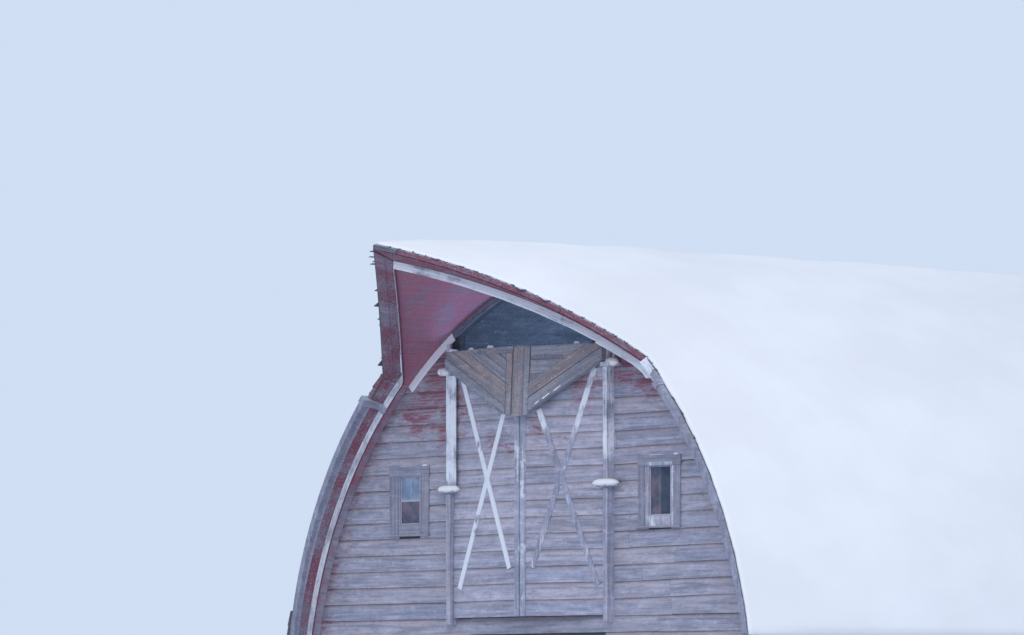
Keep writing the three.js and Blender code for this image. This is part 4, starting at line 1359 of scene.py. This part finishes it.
def ground_door(facing):
    """A closed plank door: upright boards side by side, three ledgers across them and a middle strip."""
    low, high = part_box(f"{facing}_ground_door")
    half, foot, head = high[0], low[2], high[2]
    edges = np.linspace(-half, half, 21)
    draw = rng(120)
    feet = [foot + 0.004 + 0.01 * draw.random() for _ in edges[:-1]]
    boards = [((a + 0.003, z, 0.001), (b - 0.003, head - 0.004, 0.016 + 0.003 * draw.random()))
              for a, b, z in zip(edges[:-1], edges[1:], feet)]
    ledgers = [((-half + 0.05, z, 0.017), (half - 0.05, z + 0.15, 0.039))
               for z in (foot + 0.2, foot + 1.0, head - 0.3)]
    ledgers.append(((-0.02, foot, 0.012), (0.02, head, 0.017)))
    centre = (0.0, low[1] if facing == "front" else high[1], 0.0)
    for word, finish, bars, bevel, seed in (("planks", "plank_doors", boards, 0.003, 121),
                                            ("ledgers", "grey_trim", ledgers, 0.004, 122)):
        shape = tubes(placed(box_bars(bars, bevel), centre, facing), seed)
        build(f"{facing}_door_{word}", finish, [shape])


# Stage

FLOOR_REACH = 400.0
FLOOR_Z = -0.002


def link(name, data):
    """Puts a new object into the scene."""
    thing = bpy.data.objects.new(name, data)
    bpy.context.scene.collection.objects.link(thing)
    return thing


def pale_stage(settings):
    """A wide pale floor under an even soft light and one large lamp, and a bluish lamp in the mow."""
    mesh = bpy.data.meshes.new("studio_floor")
    corners = [(x * FLOOR_REACH, y * FLOOR_REACH, FLOOR_Z) for x, y in ((-1, -1), (1, -1), (1, 1), (-1, 1))]
    mesh.from_pydata(corners, [], [(0, 1, 2, 3)])
    link("studio_floor", mesh)
    r = Recipe("studio_floor", 0.9)
    tone = r.mix(r.noise(r.place, 0.2, 2.0), (0.80, 0.84, 0.90), (0.84, 0.87, 0.92))
    r.put(r.shader.inputs["Base Color"], tone)
    mesh.materials.append(r.material)
    world = bpy.data.worlds.new("soft_sky")
    world.use_nodes = True
    back = world.node_tree.nodes["Background"]
    back.inputs["Color"].default_value = (*settings.sky, 1.0)
    back.inputs["Strength"].default_value = 1.0
    bpy.context.scene.world = world
    bpy.context.scene.view_settings.view_transform = "Standard"
    for name, place, target, size, power, colour in (
            ("soft_key", (26.0, -34.0, 30.0), (6.6, -9.2, 5.4), 26.0, settings.key_power, (0.97, 0.97, 1.0)),
            ("mow_fill", (1.6, FRONT + 2.6, 4.3), (-1.4, FRONT + 3.4, 7.0), 2.6, settings.fill_power,
             (0.40, 0.64, 1.0))):
        light = bpy.data.lights.new(name, "AREA")
        light.energy = power
        light.size = size
        light.color = colour
        lamp = link(name, light)
        lamp.location = place
        lamp.rotation_euler = (Vector(target) - Vector(place)).to_track_quat("-Z", "Y").to_euler()


def photo_camera(settings):
    """A long lens from the right of the gable, turned and tilted until the wall's centre and the horizon
    fall on their column and row of the photo."""
    azimuth = math.radians(settings.azimuth)
    sideways = Vector((math.cos(azimuth), math.sin(azimuth), 0.0))
    towards = Vector((-math.sin(azimuth), math.cos(azimuth), 0.0))
    turn = math.atan((settings.centre_column - PHOTO_WIDTH / 2) / FOCAL_PIXELS)
    tilt = math.atan((settings.horizon_row - PHOTO_HEIGHT / 2) / FOCAL_PIXELS)
    ahead = towards * math.cos(turn) - sideways * math.sin(turn)
    ahead = ahead * math.cos(tilt) + Vector((0.0, 0.0, 1.0)) * math.sin(tilt)
    camera = bpy.data.cameras.new("camera")
    camera.lens = FOCAL_PIXELS / PHOTO_WIDTH * SENSOR
    camera.sensor_width = SENSOR
    camera.clip_end = 2000.0
    viewer = link("camera", camera)
    viewer.location = Vector((0.0, FRONT, settings.camera_height)) - towards * settings.distance
    viewer.rotation_euler = ahead.to_track_quat("-Z", "Y").to_euler()
    bpy.context.scene.camera = viewer


def length(name, description, default):
    """A size in metres that a user may change."""
    return FloatProperty(name=name, description=description, default=default, unit="LENGTH")


def number(name, description, default):
    """A plain number that a user may change."""
    return FloatProperty(name=name, description=description, default=default)


def colour(name, description, default):
    """A colour that a user may change."""
    return FloatVectorProperty(name=name, description=description, subtype="COLOR", default=default)


class BarnStageSettings(bpy.types.PropertyGroup):
    azimuth: number("Azimuth", "Camera's turn to the right of the gable, in degrees", 47.08)
    distance: length("Distance", "Camera to the gable's centre", 95.2)
    camera_height: length("Height", "Camera over the ground", 0.90)
    centre_column: number("Centre column", "Photo column of the gable's centre", 533.3)
    horizon_row: number("Horizon row", "Photo row of the horizon, below the picture", 748.0)
    sky: colour("Sky", "Colour of the pale surroundings", (0.63, 0.735, 0.905))
    key_power: number("Key power", "Power of the soft light, in watts", 4800.0)
    fill_power: number("Mow fill", "Power of the light inside the mow, in watts", 215.0)


class BarnFinishSettings(bpy.types.PropertyGroup):
    course: length("Siding course", "Height of one siding board", 0.235)
    exposure: length("Shingle course", "Part of a shingle left in view", 0.14)
    snow_depth: length("Snow depth", "Depth of the snow along the ridge", 0.20)
    red: colour("Red paint", "What is left of the old paint", (0.25, 0.060, 0.090))
    dark_red: colour("Fascia paint", "The darker red along the roof's edge", (0.205, 0.070, 0.105))
    ceiling: colour("Ceiling paint", "The red under the hood", (0.41, 0.150, 0.218))
    white: colour("White paint", "Trim, tracks and braces", (0.80, 0.81, 0.86))
    grey_blue: colour("Grey wood", "Weathered boards, the cooler ones", (0.335, 0.35, 0.45))
    grey_mauve: colour("Mauve wood", "Weathered boards, the warmer ones", (0.45, 0.42, 0.49))
    snow: colour("Snow", "Dry snow on the roof", (0.95, 0.93, 0.92))


class BARN_OT_stage(bpy.types.Operator):
    """Sets the pale floor, the soft light and the photograph's camera"""
    bl_idname = "barn.stage"
    bl_label = "Stage and camera"

    def execute(self, context):
        pale_stage(context.scene.barn_stage)
        photo_camera(context.scene.barn_stage)
        return {"FINISHED"}


class BARN_OT_finishes(bpy.types.Operator):
    """Makes the finishes and gives each solid its own"""
    bl_idname = "barn.finishes"
    bl_label = "Finishes"

    def execute(self, context):
        MATERIALS.update(make_materials(context.scene.barn_finish))
        for part in frame["record"]["subparts"]:
            name = part["node"]
            finish = NODE_FINISH.get(name, SLOT_FINISH[part["material_slot"]])
            NODES[name].data.materials.clear()
            NODES[name].data.materials.append(MATERIALS[finish])
        return {"FINISHED"}


class BARN_OT_siding(bpy.types.Operator):
    """Lays drop siding over the gables, the side walls and the hay door"""
    bl_idname = "barn.siding"
    bl_label = "Siding"

    def execute(self, context):
        course = context.scene.barn_finish.course
        for front in (True, False):
            gable_siding(front, course)
        for side in SIDES:
            side_siding(side, course)
            leaf_siding(side, course)
        corner_boards()
        return {"FINISHED"}


class BARN_OT_roof(bpy.types.Operator):
    """Lays the shingles, and the boards along and under the hood and the verges"""
    bl_idname = "barn.roof"
    bl_label = "Roof"

    def execute(self, context):
        for side in SIDES:
            roof_shingles(side, context.scene.barn_finish.exposure)
            for lay in (edge_strips, fascia_boards, ceiling_boards, trim_boards, frieze_boards):
                lay(side)
        return {"FINISHED"}


class BARN_OT_hay_doors(bpy.types.Operator):
    """Lays the planks of the flap and the battens of the tracks"""
    bl_idname = "barn.hay_doors"
    bl_label = "Hay doors"

    def execute(self, context):
        flap_boards()
        track_boards()
        return {"FINISHED"}


class BARN_OT_windows(bpy.types.Operator):
    """Puts in the sashes, panes and casings"""
    bl_idname = "barn.windows"
    bl_label = "Windows"

    def execute(self, context):
        for side in SIDES:
            for facing in ("front", "back"):
                gable_window(side, facing)
            side_window_row(side)
        return {"FINISHED"}


class BARN_OT_ground_doors(bpy.types.Operator):
    """Lays the planks and ledgers of the ground doors"""
    bl_idname = "barn.ground_doors"
    bl_label = "Ground doors"

    def execute(self, context):
        for facing in ("front", "back"):
            ground_door(facing)
        return {"FINISHED"}


class BARN_OT_snow(bpy.types.Operator):
    """Lays the snow on the roof and on the ledges"""
    bl_idname = "barn.snow"
    bl_label = "Snow"

    def execute(self, context):
        roof_snow(context.scene.barn_finish.snow_depth)
        small_snow()
        return {"FINISHED"}


OPERATORS = (BARN_OT_stage, BARN_OT_finishes, BARN_OT_siding, BARN_OT_roof, BARN_OT_hay_doors,
             BARN_OT_windows, BARN_OT_ground_doors, BARN_OT_snow)


class BARN_PT_panel(bpy.types.Panel):
    """Lists the barn's pieces in the sidebar"""
    bl_idname = "BARN_PT_panel"
    bl_label = "Arched-roof barn"
    bl_space_type = "VIEW_3D"
    bl_region_type = "UI"
    bl_category = "Barn"

    def draw(self, context):
        for operator in OPERATORS:
            self.layout.operator(operator.bl_idname)
        for group in (context.scene.barn_stage, context.scene.barn_finish):
            for key in group.__annotations__:
                self.layout.prop(group, key)


CLASSES = (BarnStageSettings, BarnFinishSettings, *OPERATORS, BARN_PT_panel)


def register():
    """Registers the classes, and puts their settings on the scene."""
    for item in CLASSES:
        bpy.utils.register_class(item)
    bpy.types.Scene.barn_stage = PointerProperty(type=BarnStageSettings)
    bpy.types.Scene.barn_finish = PointerProperty(type=BarnFinishSettings)


def unregister():
    """Takes the settings and the classes away again."""
    del bpy.types.Scene.barn_stage
    del bpy.types.Scene.barn_finish
    for item in reversed(CLASSES):
        bpy.utils.unregister_class(item)


def main():
    """Builds everything in order."""
    register()
    for operator in OPERATORS:
        group, action = operator.bl_idname.split(".")
        getattr(getattr(bpy.ops, group), action)()


if __name__ == "__main__":
    main()
